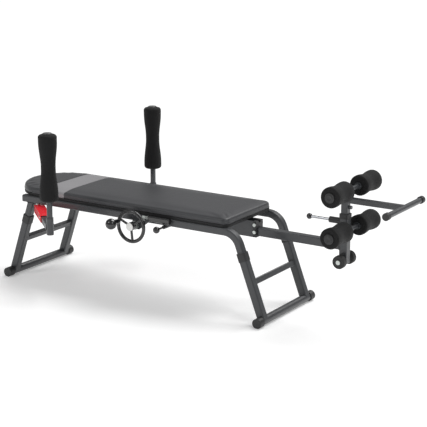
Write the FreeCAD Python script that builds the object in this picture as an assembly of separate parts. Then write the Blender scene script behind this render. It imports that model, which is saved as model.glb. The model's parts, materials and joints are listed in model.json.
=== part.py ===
import FreeCAD, Part
import math
import os
from FreeCAD import Vector

# Sit up and back stretch bench. Millimetres, +X towards the ankle rollers, +Z up, near side is -Y.
# Everything is first placed from the bench middle (x = 0 halfway between the floor bars) and then
# shifted so that the origin is under the middle of the whole bench, on the floor.

# ---- driving dimensions ----
floor_bar_spacing = 1444.0      # between the two floor bars' axes
floor_bar_length = 500.0        # over the end caps
floor_bar_d = 38.0
floor_bar_z = 22.0              # bar axis above the floor
floor_cap_r = 23.0              # cap radius, cut flat where it meets the floor
floor_cap_length = 35.0
floor_cap_end = 5.0

pad_top = 465.0
pad_width = 408.0
pad_foot_x = 536.0
pad_head_centre_x = -541.0      # centre of the rounded head end
pad_foot_corner_r = 35.0
cushion_thickness = 32.0
cushion_edge_r = 12.0
board_thickness = 12.0
board_inset = 4.0

rail_size = 34.0
rail_wall = 2.0
rail_corner = 6.0
rail_y = 192.0                  # rail and leg centre planes
rail_head_overhang = 51.0       # past the head legs' axes
rail_cap_thickness = 3.0
rail_plug_length = 15.0
rail_bend_r = 80.0

leg_wall = 1.5                  # outer, lower leg tubes
leg_corner = 6.0
leg_gap = 0.5                   # per side, between the sliding leg tubes
head_lean = 19.2                # degrees from upright
foot_lean = 20.8
leg_mouth_drop = 87.0           # outer tubes' mouths below the rails
leg_insert = 180.0              # height of the inner tube inside the outer one
leg_travel = 100.0
collar_below = 20.0             # along the leg, either side of the mouth
collar_above = 20.0
collar_wall = 2.6
collar_gap = 0.4
rung_size = 25.0
rung_wall = 1.5
rung_corner = 3.0
head_rung_z = 191.0
foot_rung_z = 185.0
button_r = 4.0
button_gap = 0.1
button_leaf_thickness = 1.2
button_leaf_length = 40.0
first_hole = 30.0               # below the mouth, along the leg
hole_count = 5

cross_tube_size = 25.0
cross_tube_xs = (-500.0, -90.0, 250.0, 440.0)

boom_size = 38.0
boom_wall = 2.0
boom_corner = 4.0
boom_inner_x = 140.0
boom_hole_pitch = 20.0
boom_hole_count = 5
lock_hole_gap = 0.5
boom_travel = 60.0              # each way
housing_wall = 3.5
housing_corner = 4.0
housing_bore_corner = 1.0
cheek_lift = 2.0                # cheeks' lower edge above the housing's
shoe_corner = 2.0
housing_space = 3.5             # round the boom
housing_back_x = -130.0
housing_front_x = 567.0
cheek_thickness = 3.5
cheek_back_x = 470.0
guide_block_length = 18.0
guide_gap = 0.4
guide_screw_gap = 0.6           # set screw off the boom
guide_notch_width = 18.0
guide_notch_depth = 10.0
guide_bolt_r = 4.0
guide_bolt_rise = 34.0          # above the boom's axis
guide_bolt_head_r = 8.0
guide_bolt_head_height = 4.5
shoe_x = 124.0
shoe_length = 36.0
shoe_gap = 0.4

gear_module = 2.0
gear_dedendum = 1.25            # times the module
gear_pressure_angle = 20.0
gear_tip_gap = 0.2
tooth_tip_taper = 0.055         # radians, pitch to tip
tooth_root_taper = 0.05
pinion_teeth = 14
pinion_width = 14.0
gear_backlash = 0.7
rack_width = 16.0
rack_body = 5.0
rack_spare = 44.0               # rack behind the shaft at full reach

crank_x = 44.0
shaft_r = 8.0
shaft_gap = 0.05
bush_wall = 3.0
bush_flange = 3.0
bush_flange_thickness = 1.5
wheel_offset = 41.0             # wheel's middle plane off the rail
wheel_outer_r = 80.0
rim_r = 8.5
hub_r = 20.0
hub_back = 13.0                 # behind the wheel's middle plane
hub_front = 12.0
hub_lid = 3.0                   # closed front of the hub
shaft_tail = 6.0                # shaft past the housing
spoke_count = 3
spoke_start = 36.0              # degrees, anticlockwise seen from the near side
spoke_r = 6.0
knob_angle = 168.0
knob_r = 26.0
knob_reach = 60.0               # in front of the wheel's middle plane
knob_neck_r = 13.0
stud_r = 5.0
stud_boss_r = 11.0
stud_proud = 8.0                # past the ball's middle
knob_gap = 1.0
stud_boss_front = 16.0
ratchet_r = 22.0
ratchet_tooth = 3.5
ratchet_lean = 0.02             # radians, each tooth's steep side
ratchet_teeth = 18
ratchet_gap = 0.5               # off the bush's flange
ratchet_thickness = 6.0

bracket_thickness = 5.0
bracket_left_x = 26.0
bracket_right_x = 114.0
bracket_foot = 20.0             # lower edge past the shaft
bracket_shoulder = 3.0          # above the rail's underside
bracket_drop = 20.0             # below the crank shaft
lever_pivot_x = 88.0
lever_pivot_rise = 34.0         # above the crank shaft
lever_pin_r = 5.0
lever_pin_proud = 2.0
lever_plate = 4.0
lever_eye_r = 12.0
pawl_gap = 1.0
pawl_tip_half = 1.5
pawl_root_half = 8.0
grip_x = 126.0
grip_length = 117.0
grip_rise = 44.5                # above the crank shaft
grip_height = 25.0
grip_thickness = 20.0
grip_gap = 4.0                  # off the rail
grip_corner = 6.0
tongue_height = 14.0
tongue_length = 30.0            # inside the grip

pull_rod_x = 194.0
pull_barrel_gap = 1.0           # under the rail
pull_rod_r = 5.0
pull_rod_root = 4.0             # rod's end past the ball's middle
pull_nose_gap = 0.3
pull_ball_r = 16.0
pull_ball_offset = 51.0         # off the rail
pull_barrel_r = 9.0
pull_barrel_inset = 5.0         # inside the rail's outer face

arm_pivot_offset = 34.0         # along the rail from the head leg's top
post_forward = 255.0            # post ahead of the arm's pivot
post_y = 416.0
arm_width = 40.0
arm_height = 30.0
arm_wall = 2.5
arm_corner = 4.0
arm_drop = 32.0                 # arm axis below the rails
pivot_bolt_r = 6.0
pivot_bolt_head_r = 11.0
pivot_bolt_head_height = 6.0
pivot_spacer_r = 13.0
pivot_gap = 0.3
lock_lever_start = 18.0         # along the arm from the pivot
lock_lever_flat = 60.0
lock_lever_end = 205.0
lock_lever_nose = 12.0
lock_lever_wall = 3.6
lock_lever_gap = 0.4
lock_lever_rise = 29.0          # above the arm's axis
lock_lever_tip_rise = 21.5
lock_pin_proud = 1.0
lock_lever_hang = 10.0          # below the arm's axis
lock_lever_pin_at = 90.0
lock_lever_pin_r = 4.0

post_tube_r = 13.45
post_tube_wall = 2.0
post_seat_drop = 25.0           # below the arm's axis
post_foam_rise = 14.0           # above the pad
post_foam_length = 314.0
post_foam_r = 44.0
post_foam_waist_r = 34.5
post_foam_edge_r = 9.0
post_cap_r = 22.0
post_cap_height = 7.0
post_cap_edge_r = 3.0
post_plug_length = 20.0
socket_wall = 3.25
socket_gap = 0.3
socket_floor = 12.0
socket_rise = 45.0              # above the arm's axis

column_x = 1020.0
column_gap = 1.0                # per side, column in sleeve
sleeve_wall = 2.0
sleeve_corner = 4.0
sleeve_below = 80.0             # these heights are from the boom's axis
sleeve_above = 138.0
column_size = 32.0
column_below = 30.0
column_above = 272.0
column_lid = 3.0
column_hole_pitch = 20.0
column_hole_count = 4
column_collar_wall = 2.6
column_collar_below = 15.0
column_collar_above = 7.0
column_collar_gap = 0.4
axle_r = 10.0
axle_wall = 2.0
saddle_ratio = 1.5              # half width, times the axle's radius
lower_roller_rise = 80.0
upper_roller_rise = 260.0
roller_inner_y = 61.5
roller_length = 145.0
roller_r = 46.5
roller_waist_r = 40.5
roller_edge_r = 9.0
roller_gap = 0.3
stop_collar_r = 16.0
stop_collar_width = 10.0
plug_r = 22.5
plug_thickness = 6.0
plug_chamfer = 2.0
plug_stem_length = 25.0
plug_gap = 0.5
stop_screw_rise = 175.0
stop_screw_r = 8.0
stop_screw_length = 14.0
t_arm_size = 25.0
t_arm_wall = 2.0
t_arm_rise = 207.0
t_bar_x = 1297.0
t_bar_r = 13.0
t_bar_length = 364.0
t_cap_r = 16.5
t_cap_length = 22.0
t_cap_end = 4.0

pin_rise = 108.0
pin_rod_r = 6.0
pin_ball_r = 13.5
pin_ball_x = 842.0
pin_rod_root = 5.0              # rod's end past the ball's middle
pin_barrel_r = 14.0
pin_barrel_length = 57.0
pin_gap = 0.1
pin_nose_gap = 0.7

transport_wheel_r = 30.0
transport_wheel_width = 25.0
transport_wheel_y = 46.0
transport_wheel_drop = 65.0
transport_axle_r = 5.0
transport_head_r = 10.0
transport_head_height = 4.0
transport_edge_r = 3.0
transport_side_gap = 0.5
transport_spacer_wall = 4.0

cut_margin = 1.0
cut_reach = 100.0
least_corner = 0.5
edge_tolerance = 0.1

# ---- sizes that follow ----
half_spacing = floor_bar_spacing / 2
cushion_bottom = pad_top - cushion_thickness
rail_top = cushion_bottom - board_thickness
rail_z = rail_top - rail_size / 2
rail_bottom = rail_top - rail_size
rail_outer_y = rail_y + rail_size / 2
leg_tube_top = rail_bottom - leg_mouth_drop
leg_overlap_z = leg_tube_top - leg_insert
head_leg_top_x = (rail_z - floor_bar_z) * math.tan(math.radians(head_lean)) - half_spacing
rail_head_x = head_leg_top_x - rail_head_overhang
arm_pivot_x = head_leg_top_x + arm_pivot_offset
post_x = arm_pivot_x + post_forward
leg_size = rail_size + 2 * (leg_wall + leg_gap)
hole_pitch = leg_travel / (hole_count - 1)
last_hole = first_hole + leg_travel
roller_outer_y = roller_inner_y + roller_length
housing_inner = boom_size / 2 + housing_space
housing_half = housing_inner + housing_wall
boom_z = rail_top - cross_tube_size - housing_half
gear_pitch = math.pi * gear_module
pinion_r = pinion_teeth * gear_module / 2
rack_back_x = crank_x - boom_travel - rack_spare
pitch_line_z = boom_z - pinion_r
guide_bolt_z = boom_z + guide_bolt_rise
wheel_y = -rail_outer_y - wheel_offset
hub_back_y = wheel_y + hub_back
hub_front_y = wheel_y - hub_front
knob_centre_y = wheel_y - knob_reach
stud_boss_front_y = wheel_y - stud_boss_front
knob_x = crank_x + (wheel_outer_r - rim_r) * math.cos(math.radians(knob_angle))
knob_z = boom_z + (wheel_outer_r - rim_r) * math.sin(math.radians(knob_angle))
bracket_front_y = -rail_outer_y - bracket_thickness
bracket_bottom_z = boom_z - bracket_drop
ratchet_back_y = bracket_front_y - bush_flange_thickness - ratchet_gap
lever_pivot_z = boom_z + lever_pivot_rise
grip_z = boom_z + grip_rise
pull_rod_z = rail_bottom - pull_barrel_gap - pull_barrel_r
pull_ball_y = -rail_outer_y - pull_ball_offset
pull_barrel_front_y = -rail_outer_y + pull_barrel_inset
arm_z = rail_bottom - arm_drop
lock_lever_top = arm_z + lock_lever_rise
lock_lever_tip_top = arm_z + lock_lever_tip_rise
lock_lever_bottom = arm_z - lock_lever_hang
post_bottom_z = arm_z - post_seat_drop
socket_bottom_z = post_bottom_z - socket_floor
socket_top_z = arm_z + socket_rise
socket_r = post_tube_r + socket_gap + socket_wall
post_foam_bottom = pad_top + post_foam_rise
post_foam_top = post_foam_bottom + post_foam_length
sleeve_size = column_size + 2 * (sleeve_wall + column_gap)
sleeve_bottom_z = boom_z - sleeve_below
sleeve_top_z = boom_z + sleeve_above
column_bottom_z = boom_z - column_below
column_top_z = boom_z + column_above
axle_x = column_x + sleeve_size / 2 + axle_r
saddle_half = axle_r * saddle_ratio
lower_roller_z = boom_z + lower_roller_rise
upper_roller_z = boom_z + upper_roller_rise
stop_screw_z = boom_z + stop_screw_rise
t_arm_z = boom_z + t_arm_rise
pin_z = boom_z + pin_rise
transport_wheel_z = boom_z - transport_wheel_drop
arm_reach = math.hypot(post_x - arm_pivot_x, post_y - rail_y)
row_shift = (pad_head_centre_x - pad_width / 2 + t_bar_x + t_cap_r) / 2

os.makedirs("parts", exist_ok=True)


def save(name, shape):
    moved = shape.copy()
    moved.translate(Vector(-row_shift, 0, 0))
    moved.exportStep("parts/" + name + ".step")


def box(x0, x1, y0, y1, z0, z1):
    return Part.makeBox(x1 - x0, y1 - y0, z1 - z0, Vector(x0, y0, z0))


def rod(start, end, radius):
    along = end - start
    return Part.makeCylinder(radius, along.Length, start, along)


def pipe(start, end, outer_r, inner_r):
    return rod(start, end, outer_r).cut(rod(start, end, inner_r))


def rounded_section(width, height, corner):
    """Closed wire in the XY plane, centred on the origin."""
    half_w = width / 2
    half_h = height / 2
    turn = corner * (1 - math.sqrt(0.5))
    edges = []
    corners = ((1, 1), (-1, 1), (-1, -1), (1, -1))
    for index, (sx, sy) in enumerate(corners):
        if sx * sy > 0:
            first = Vector(sx * half_w, sy * (half_h - corner), 0)
            last = Vector(sx * (half_w - corner), sy * half_h, 0)
        else:
            first = Vector(sx * (half_w - corner), sy * half_h, 0)
            last = Vector(sx * half_w, sy * (half_h - corner), 0)
        middle = Vector(sx * (half_w - turn), sy * (half_h - turn), 0)
        edges.append(Part.Arc(first, middle, last).toShape())
        nx, ny = corners[(index + 1) % 4]
        if sx * sy > 0:
            following = Vector(nx * (half_w - corner), ny * half_h, 0)
        else:
            following = Vector(nx * half_w, ny * (half_h - corner), 0)
        edges.append(Part.LineSegment(last, following).toShape())
    return Part.Wire(edges)


def stand_at(shape, start, along, up):
    """Turn a shape drawn along +Z, with its height along +Y, to run along a direction."""
    forward = Vector(along).normalize()
    side = Vector(up).cross(forward).normalize()
    lift = forward.cross(side)
    turn = FreeCAD.Matrix(side.x, lift.x, forward.x, start.x,
                          side.y, lift.y, forward.y, start.y,
                          side.z, lift.z, forward.z, start.z,
                          0, 0, 0, 1)
    return shape.transformed(turn)


def bar(start, end, width, height, corner, up):
    along = end - start
    face = Part.Face(rounded_section(width, height, corner))
    return stand_at(face.extrude(Vector(0, 0, along.Length)), start, along, up)


def box_tube(start, end, width, height, corner, wall, up):
    outer = bar(start, end, width, height, corner, up)
    inner_corner = max(corner - wall, least_corner)
    inner = bar(start, end, width - 2 * wall, height - 2 * wall, inner_corner, up)
    return outer.cut(inner)


def prism(points, thickness):
    """Flat plate from points in a plane, thickened along a vector."""
    wire = Part.makePolygon(points + [points[0]])
    return Part.Face(wire).extrude(thickness)


def mirror_y(shape):
    return shape.mirror(Vector(0, 0, 0), Vector(0, 1, 0))


def both_sides(shape):
    return [shape, mirror_y(shape)]


def group(shapes):
    solids = []
    for shape in shapes:
        solids.extend(shape.Solids)
    return Part.makeCompound(solids)


# ---- bench frame and legs ----
def leg_point(end, height):
    """Point on a leg's axis at a height; end is -1 at the head, +1 at the foot."""
    lean = math.radians(head_lean if end < 0 else foot_lean)
    x = end * (half_spacing - (height - floor_bar_z) * math.tan(lean))
    return Vector(x, -rail_y, height)


def leg_direction(end):
    return (leg_point(end, 0) - leg_point(end, 1)).normalize()


def leg_back(end):
    """Outward normal of a leg tube's face towards -X."""
    down = leg_direction(end)
    return Vector(down.z, 0, -down.x)


def make_side_rail():
    lean = math.radians(foot_lean)
    down = math.pi / 2 - lean
    bend_end_z = rail_z - rail_bend_r * (1 - math.cos(down))
    bend_end = leg_point(1, bend_end_z)
    bend_x = bend_end.x - rail_bend_r * math.sin(down)
    centre_z = rail_z - rail_bend_r
    half = down / 2
    bend_middle = Vector(bend_x + rail_bend_r * math.sin(half), -rail_y,
                         centre_z + rail_bend_r * math.cos(half))
    start = Vector(rail_head_x, -rail_y, rail_z)
    bend_start = Vector(bend_x, -rail_y, rail_z)
    path = Part.Wire([
        Part.LineSegment(start, bend_start).toShape(),
        Part.Arc(bend_start, bend_middle, bend_end).toShape(),
        Part.LineSegment(bend_end, leg_point(1, leg_overlap_z)).toShape(),
    ])
    skins = []
    for inset in (0, rail_wall):
        size = rail_size - 2 * inset
        wire = rounded_section(size, size, rail_corner - inset)
        face = stand_at(Part.Face(wire), start, Vector(1, 0, 0), Vector(0, 0, 1))
        skins.append(path.makePipe(face))
    rail = skins[0].cut(skins[1])
    rail = rail.cut(leg_holes(1, [last_hole]))
    pivot = Vector(arm_pivot_x, -rail_y, rail_z)
    return rail.cut(rod(pivot - Vector(0, 0, rail_size), pivot, pivot_bolt_r))


def leg_holes(end, distances):
    """Cutters for the snap buttons, through the wall that faces -X."""
    cutters = []
    mouth = leg_point(end, leg_tube_top)
    for distance in distances:
        middle = mouth + leg_direction(end) * distance
        cutters.append(rod(middle, middle + leg_back(end) * leg_size, button_r + button_gap))
    return Part.makeCompound(cutters)


def make_head_leg_post():
    top = leg_point(-1, rail_bottom + rail_size / 2)
    bottom = leg_point(-1, leg_overlap_z)
    post = box_tube(bottom, top, rail_size, rail_size, rail_corner, rail_wall, Vector(1, 0, 0))
    above = box(top.x - cut_reach, top.x + cut_reach, -rail_y - cut_reach, -rail_y + cut_reach,
                rail_bottom, rail_bottom + cut_reach)
    return post.cut(above).cut(leg_holes(-1, [last_hole]))


def make_snap_button(end):
    """Button head pressed level with the inner tube's face, on its spring leaf."""
    down = leg_direction(end)
    out = leg_back(end)
    centre = leg_point(end, leg_tube_top) + down * last_hole
    leaf_middle = centre + out * (rail_size / 2 - rail_wall - button_leaf_thickness / 2)
    head = rod(leaf_middle, centre + out * (rail_size / 2), button_r)
    leaf = bar(leaf_middle + down * button_r * 2, leaf_middle - down * button_leaf_length,
               button_r * 2, button_leaf_thickness, button_leaf_thickness / 3, out)
    return head.fuse(leaf)


def make_leg_frame(end, rung_z):
    bar_axis = Vector(end * half_spacing, 0, floor_bar_z)
    half_bar = floor_bar_length / 2 - floor_cap_end
    ends = (bar_axis - Vector(0, half_bar, 0), bar_axis + Vector(0, half_bar, 0))
    floor_bar = pipe(ends[0], ends[1], floor_bar_d / 2, floor_bar_d / 2 - rail_wall)
    solid_bar = rod(ends[0], ends[1], floor_bar_d / 2)
    tube = box_tube(leg_point(end, floor_bar_z), leg_point(end, leg_tube_top), leg_size, leg_size,
                    leg_corner, leg_wall, Vector(1, 0, 0))
    distances = [first_hole + index * hole_pitch for index in range(hole_count)]
    tube = tube.cut(solid_bar).cut(leg_holes(end, distances))
    largest = max(tube.Solids, key=lambda solid: solid.Volume)
    near = leg_point(end, rung_z)
    half_rung = rail_y - leg_size / 2
    rung_near = Vector(near.x, -half_rung, near.z)
    rung_far = Vector(near.x, half_rung, near.z)
    rung = box_tube(rung_near, rung_far, rung_size, rung_size, rung_corner, rung_wall, leg_direction(end))
    return group(both_sides(largest) + [rung, floor_bar])


def make_floor_cap(end):
    outer_y = -floor_bar_length / 2
    start = Vector(end * half_spacing, outer_y, floor_bar_z)
    mouth = start + Vector(0, floor_cap_length, 0)
    cap = rod(start, mouth, floor_cap_r)
    cap = cap.cut(rod(start + Vector(0, floor_cap_end, 0), mouth, floor_bar_d / 2))
    below = box(start.x - floor_cap_r, start.x + floor_cap_r, outer_y, outer_y + floor_cap_length,
                -floor_cap_r, 0)
    return cap.cut(below)


def make_leg_collar(end):
    along = leg_direction(end)
    mouth = leg_point(end, leg_tube_top)
    low = mouth + along * collar_below
    high = mouth - along * collar_above
    up = Vector(1, 0, 0)
    outer = leg_size + 2 * collar_wall
    collar = bar(low, high, outer, outer, leg_corner + collar_wall, up)
    collar = collar.cut(bar(low, mouth, leg_size, leg_size, leg_corner, up))
    opening = rail_size + 2 * collar_gap
    return collar.cut(bar(mouth, high, opening, opening, rail_corner, up))


def make_rail_cap():
    start = Vector(rail_head_x - rail_cap_thickness, -rail_y, rail_z)
    up = Vector(0, 0, 1)
    cap = bar(start, start + Vector(rail_cap_thickness, 0, 0), rail_size, rail_size, rail_corner, up)
    inside = rail_size - 2 * rail_wall
    plug = bar(start, start + Vector(rail_plug_length, 0, 0), inside, inside, rail_corner - rail_wall, up)
    return cap.fuse(plug)


def make_cross_tubes():
    half = rail_y - rail_size / 2
    z = rail_top - cross_tube_size / 2
    tubes = []
    for x in cross_tube_xs:
        tubes.append(box_tube(Vector(x, -half, z), Vector(x, half, z), cross_tube_size, cross_tube_size,
                              rung_corner, rung_wall, Vector(0, 0, 1)))
    return group(tubes)


# ---- pad ----
def pad_outline(inset):
    half = pad_width / 2 - inset
    corner = pad_foot_corner_r - inset
    foot = pad_foot_x - inset
    turn = corner * (1 - math.sqrt(0.5))
    head = pad_head_centre_x
    return Part.Wire([
        Part.LineSegment(Vector(head, -half, 0), Vector(foot - corner, -half, 0)).toShape(),
        Part.Arc(Vector(foot - corner, -half, 0), Vector(foot - turn, -half + turn, 0),
                 Vector(foot, -half + corner, 0)).toShape(),
        Part.LineSegment(Vector(foot, -half + corner, 0), Vector(foot, half - corner, 0)).toShape(),
        Part.Arc(Vector(foot, half - corner, 0), Vector(foot - turn, half - turn, 0),
                 Vector(foot - corner, half, 0)).toShape(),
        Part.LineSegment(Vector(foot - corner, half, 0), Vector(head, half, 0)).toShape(),
        Part.Arc(Vector(head, half, 0), Vector(head - half, 0, 0), Vector(head, -half, 0)).toShape(),
    ])


def make_pad_layer(inset, bottom, thickness):
    layer = Part.Face(pad_outline(inset)).extrude(Vector(0, 0, thickness))
    layer.translate(Vector(0, 0, bottom))
    return layer


def make_cushion():
    cushion = make_pad_layer(0, cushion_bottom, cushion_thickness)
    top_edges = [edge for edge in cushion.Edges if edge.BoundBox.ZMin > pad_top - edge_tolerance]
    return cushion.makeFillet(cushion_edge_r, top_edges)


# ---- boom, its housing and its drive ----
def square_bar_x(x0, x1, size, corner):
    return bar(Vector(x0, 0, boom_z), Vector(x1, 0, boom_z), size, size, corner, Vector(0, 0, 1))


def make_housing():
    outer = square_bar_x(housing_back_x, housing_front_x, 2 * housing_half, housing_corner)
    housing = outer.cut(square_bar_x(housing_back_x, housing_front_x, 2 * housing_inner,
                                     housing_bore_corner))
    for side in (-1, 1):
        inner_y = side * housing_half
        outer_y = side * (housing_half + cheek_thickness)
        cheek = box(cheek_back_x, housing_front_x, min(inner_y, outer_y), max(inner_y, outer_y),
                    boom_z - housing_half + cheek_lift, rail_top)
        housing = housing.fuse(cheek)
    bush_hole = rod(Vector(crank_x, -housing_half - cut_margin, boom_z),
                    Vector(crank_x, housing_half + cut_margin, boom_z),
                    shaft_r + shaft_gap + bush_wall)
    pin_hole = rod(Vector(pull_rod_x, -housing_half - cut_margin, pull_rod_z),
                   Vector(pull_rod_x, 0, pull_rod_z),
                   pull_rod_r + lock_hole_gap)
    return housing.cut(bush_hole).cut(pin_hole)


def make_guide_block():
    half = housing_half + cheek_thickness
    end_x = housing_front_x + guide_block_length
    block = box(housing_front_x, end_x, -half, half, boom_z - housing_half + cheek_lift, rail_top)
    window = square_bar_x(housing_front_x, end_x, boom_size + 2 * guide_gap, boom_corner)
    notch = box(housing_front_x, end_x, -guide_notch_width / 2, guide_notch_width / 2,
                rail_top - guide_notch_depth, rail_top)
    x = (housing_front_x + end_x) / 2
    for z in (guide_bolt_z, boom_z):
        block = block.cut(rod(Vector(x, -half, z), Vector(x, half, z), guide_bolt_r))
    return block.cut(window).cut(notch)


def make_guide_bolts():
    half = housing_half + cheek_thickness
    x = housing_front_x + guide_block_length / 2
    out = Vector(0, -guide_bolt_head_height, 0)
    upper = rod(Vector(x, -half, guide_bolt_z), Vector(x, half, guide_bolt_z), guide_bolt_r)
    head = rod(Vector(x, -half, guide_bolt_z), Vector(x, -half, guide_bolt_z) + out, guide_bolt_head_r)
    through = upper.fuse(head).fuse(mirror_y(head))
    inner_y = -boom_size / 2 - guide_gap - guide_screw_gap
    screw = rod(Vector(x, inner_y, boom_z), Vector(x, -half, boom_z), guide_bolt_r)
    screw = screw.fuse(rod(Vector(x, -half, boom_z), Vector(x, -half, boom_z) + out, guide_bolt_head_r))
    return group([through] + both_sides(screw))


def make_boom_tube():
    start = Vector(boom_inner_x, 0, boom_z)
    end = Vector(column_x - sleeve_size / 2, 0, boom_z)
    tube = box_tube(start, end, boom_size, boom_size, boom_corner, boom_wall, Vector(0, 0, 1))
    for index in range(boom_hole_count):
        inside = Vector(pull_rod_x + (index - 1) * boom_hole_pitch, 0, pull_rod_z)
        tube = tube.cut(rod(inside, inside - Vector(0, boom_size, 0), pull_rod_r + lock_hole_gap))
    return tube


def make_shoe():
    size = 2 * (housing_inner - shoe_gap)
    shoe = square_bar_x(shoe_x, shoe_x + shoe_length, size, shoe_corner)
    shoe = shoe.cut(square_bar_x(boom_inner_x, shoe_x + shoe_length, boom_size, boom_corner))
    rack_space = box(shoe_x, boom_inner_x, -rack_width / 2, rack_width / 2,
                     boom_z - housing_half, pitch_line_z + gear_module)
    return shoe.cut(rack_space)


def make_rack():
    tip_z = pitch_line_z + gear_module
    root_z = pitch_line_z - gear_dedendum * gear_module
    slope = math.tan(math.radians(gear_pressure_angle))
    rack = box(rack_back_x, boom_inner_x, -rack_width / 2, rack_width / 2, root_z - rack_body, tip_z)
    half_gap = gear_pitch / 4 + gear_backlash / 2
    top = half_gap + gear_module * slope
    bottom = half_gap - gear_dedendum * gear_module * slope
    first = math.ceil((rack_back_x + top - crank_x) / gear_pitch)
    last = math.floor((shoe_x - top - crank_x) / gear_pitch)
    gaps = []
    for index in range(first, last + 1):
        x = crank_x + index * gear_pitch
        outline = [Vector(x - top, -rack_width, tip_z), Vector(x - bottom, -rack_width, root_z),
                   Vector(x + bottom, -rack_width, root_z), Vector(x + top, -rack_width, tip_z)]
        gaps.append(prism(outline, Vector(0, 2 * rack_width, 0)))
    return rack.cut(Part.makeCompound(gaps))


def make_pinion():
    """Spur gear on the crank shaft, one tooth pointing straight down into a rack gap."""
    tip_r = pinion_r + gear_module - gear_tip_gap
    root_r = pinion_r - gear_dedendum * gear_module
    pitch_half = (gear_pitch / 4 - gear_backlash / 2) / pinion_r
    tip_half = pitch_half - tooth_tip_taper
    root_half = pitch_half + tooth_root_taper
    points = []
    for index in range(pinion_teeth):
        middle = -math.pi / 2 + index * 2 * math.pi / pinion_teeth
        for angle, radius in ((-root_half, root_r), (-pitch_half, pinion_r), (-tip_half, tip_r),
                              (tip_half, tip_r), (pitch_half, pinion_r), (root_half, root_r)):
            points.append(Vector(crank_x + radius * math.cos(middle + angle), -pinion_width / 2,
                                 boom_z + radius * math.sin(middle + angle)))
    gear = prism(points, Vector(0, pinion_width, 0))
    bore_ends = (Vector(crank_x, -pinion_width, boom_z), Vector(crank_x, pinion_width, boom_z))
    return gear.cut(rod(bore_ends[0], bore_ends[1], shaft_r))


def make_crank_shaft():
    return rod(Vector(crank_x, hub_front_y + hub_lid, boom_z),
               Vector(crank_x, housing_half + shaft_tail, boom_z), shaft_r)


def make_crank_bushes():
    inner_r = shaft_r + shaft_gap
    outer_r = inner_r + bush_wall
    bushes = []
    for side in (-1, 1):
        inside = Vector(crank_x, side * housing_inner, boom_z)
        face = Vector(crank_x, side * housing_half, boom_z)
        rim = Vector(crank_x, side * (housing_half + bush_flange_thickness), boom_z)
        bush = rod(inside, face, outer_r).fuse(rod(face, rim, outer_r + bush_flange))
        bushes.append(bush.cut(rod(inside, rim, inner_r)))
    back = Vector(crank_x, -rail_outer_y, boom_z)
    face = Vector(crank_x, bracket_front_y, boom_z)
    rim = Vector(crank_x, bracket_front_y - bush_flange_thickness, boom_z)
    bush = rod(back, face, outer_r).fuse(rod(face, rim, outer_r + bush_flange))
    bushes.append(bush.cut(rod(back, rim, inner_r)))
    return group(bushes)


def make_crank_bracket():
    corners = (
        (bracket_left_x, rail_top),
        (bracket_left_x, bracket_bottom_z),
        (crank_x + bracket_foot, bracket_bottom_z),
        (bracket_right_x, rail_bottom + bracket_shoulder),
        (bracket_right_x, rail_top),
    )
    outline = [Vector(x, -rail_outer_y, z) for x, z in corners]
    plate = prism(outline, Vector(0, -bracket_thickness, 0))
    bore = rod(Vector(crank_x, -rail_outer_y, boom_z), Vector(crank_x, bracket_front_y, boom_z),
               shaft_r + shaft_gap + bush_wall)
    pin_root = Vector(lever_pivot_x, -rail_outer_y, lever_pivot_z)
    pin_end = Vector(lever_pivot_x, ratchet_back_y - ratchet_thickness - lever_pin_proud, lever_pivot_z)
    pin = rod(pin_root, pin_end, lever_pin_r)
    return plate.cut(bore).fuse(pin)


def make_handwheel():
    centre = Vector(crank_x, wheel_y, boom_z)
    ring_r = wheel_outer_r - rim_r
    wheel = Part.makeTorus(ring_r, rim_r, centre, Vector(0, 1, 0))
    hub = rod(Vector(crank_x, hub_front_y, boom_z), Vector(crank_x, hub_back_y, boom_z), hub_r)
    wheel = wheel.fuse(hub)
    for index in range(spoke_count):
        angle = math.radians(spoke_start + index * 360 / spoke_count)
        out = Vector(math.cos(angle), 0, math.sin(angle))
        wheel = wheel.fuse(rod(centre + out * (hub_r - spoke_r), centre + out * ring_r, spoke_r))
    boss = rod(Vector(knob_x, wheel_y, knob_z), Vector(knob_x, stud_boss_front_y, knob_z), stud_boss_r)
    stud = rod(Vector(knob_x, wheel_y, knob_z), Vector(knob_x, knob_centre_y - stud_proud, knob_z), stud_r)
    wheel = wheel.fuse(boss).fuse(stud)
    shaft_end = Vector(crank_x, hub_front_y + hub_lid, boom_z)
    return wheel.cut(rod(shaft_end, Vector(crank_x, hub_back_y, boom_z), shaft_r))


def make_crank_knob():
    ball = Part.makeSphere(knob_r, Vector(knob_x, knob_centre_y, knob_z))
    neck_y = stud_boss_front_y - knob_gap
    neck = rod(Vector(knob_x, neck_y, knob_z), Vector(knob_x, knob_centre_y, knob_z), knob_neck_r)
    bore = rod(Vector(knob_x, neck_y, knob_z), Vector(knob_x, knob_centre_y - stud_proud - knob_gap, knob_z),
               stud_r + shaft_gap)
    return ball.fuse(neck).cut(bore)


def make_ratchet_wheel():
    points = []
    for index in range(ratchet_teeth):
        start = index * 2 * math.pi / ratchet_teeth
        for angle, radius in ((start, ratchet_r), (start + ratchet_lean, ratchet_r - ratchet_tooth)):
            points.append(Vector(crank_x + radius * math.cos(angle), ratchet_back_y,
                                 boom_z + radius * math.sin(angle)))
    wheel = prism(points, Vector(0, -ratchet_thickness, 0))
    back = Vector(crank_x, ratchet_back_y, boom_z)
    return wheel.cut(rod(back, back - Vector(0, ratchet_thickness, 0), shaft_r))


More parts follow.
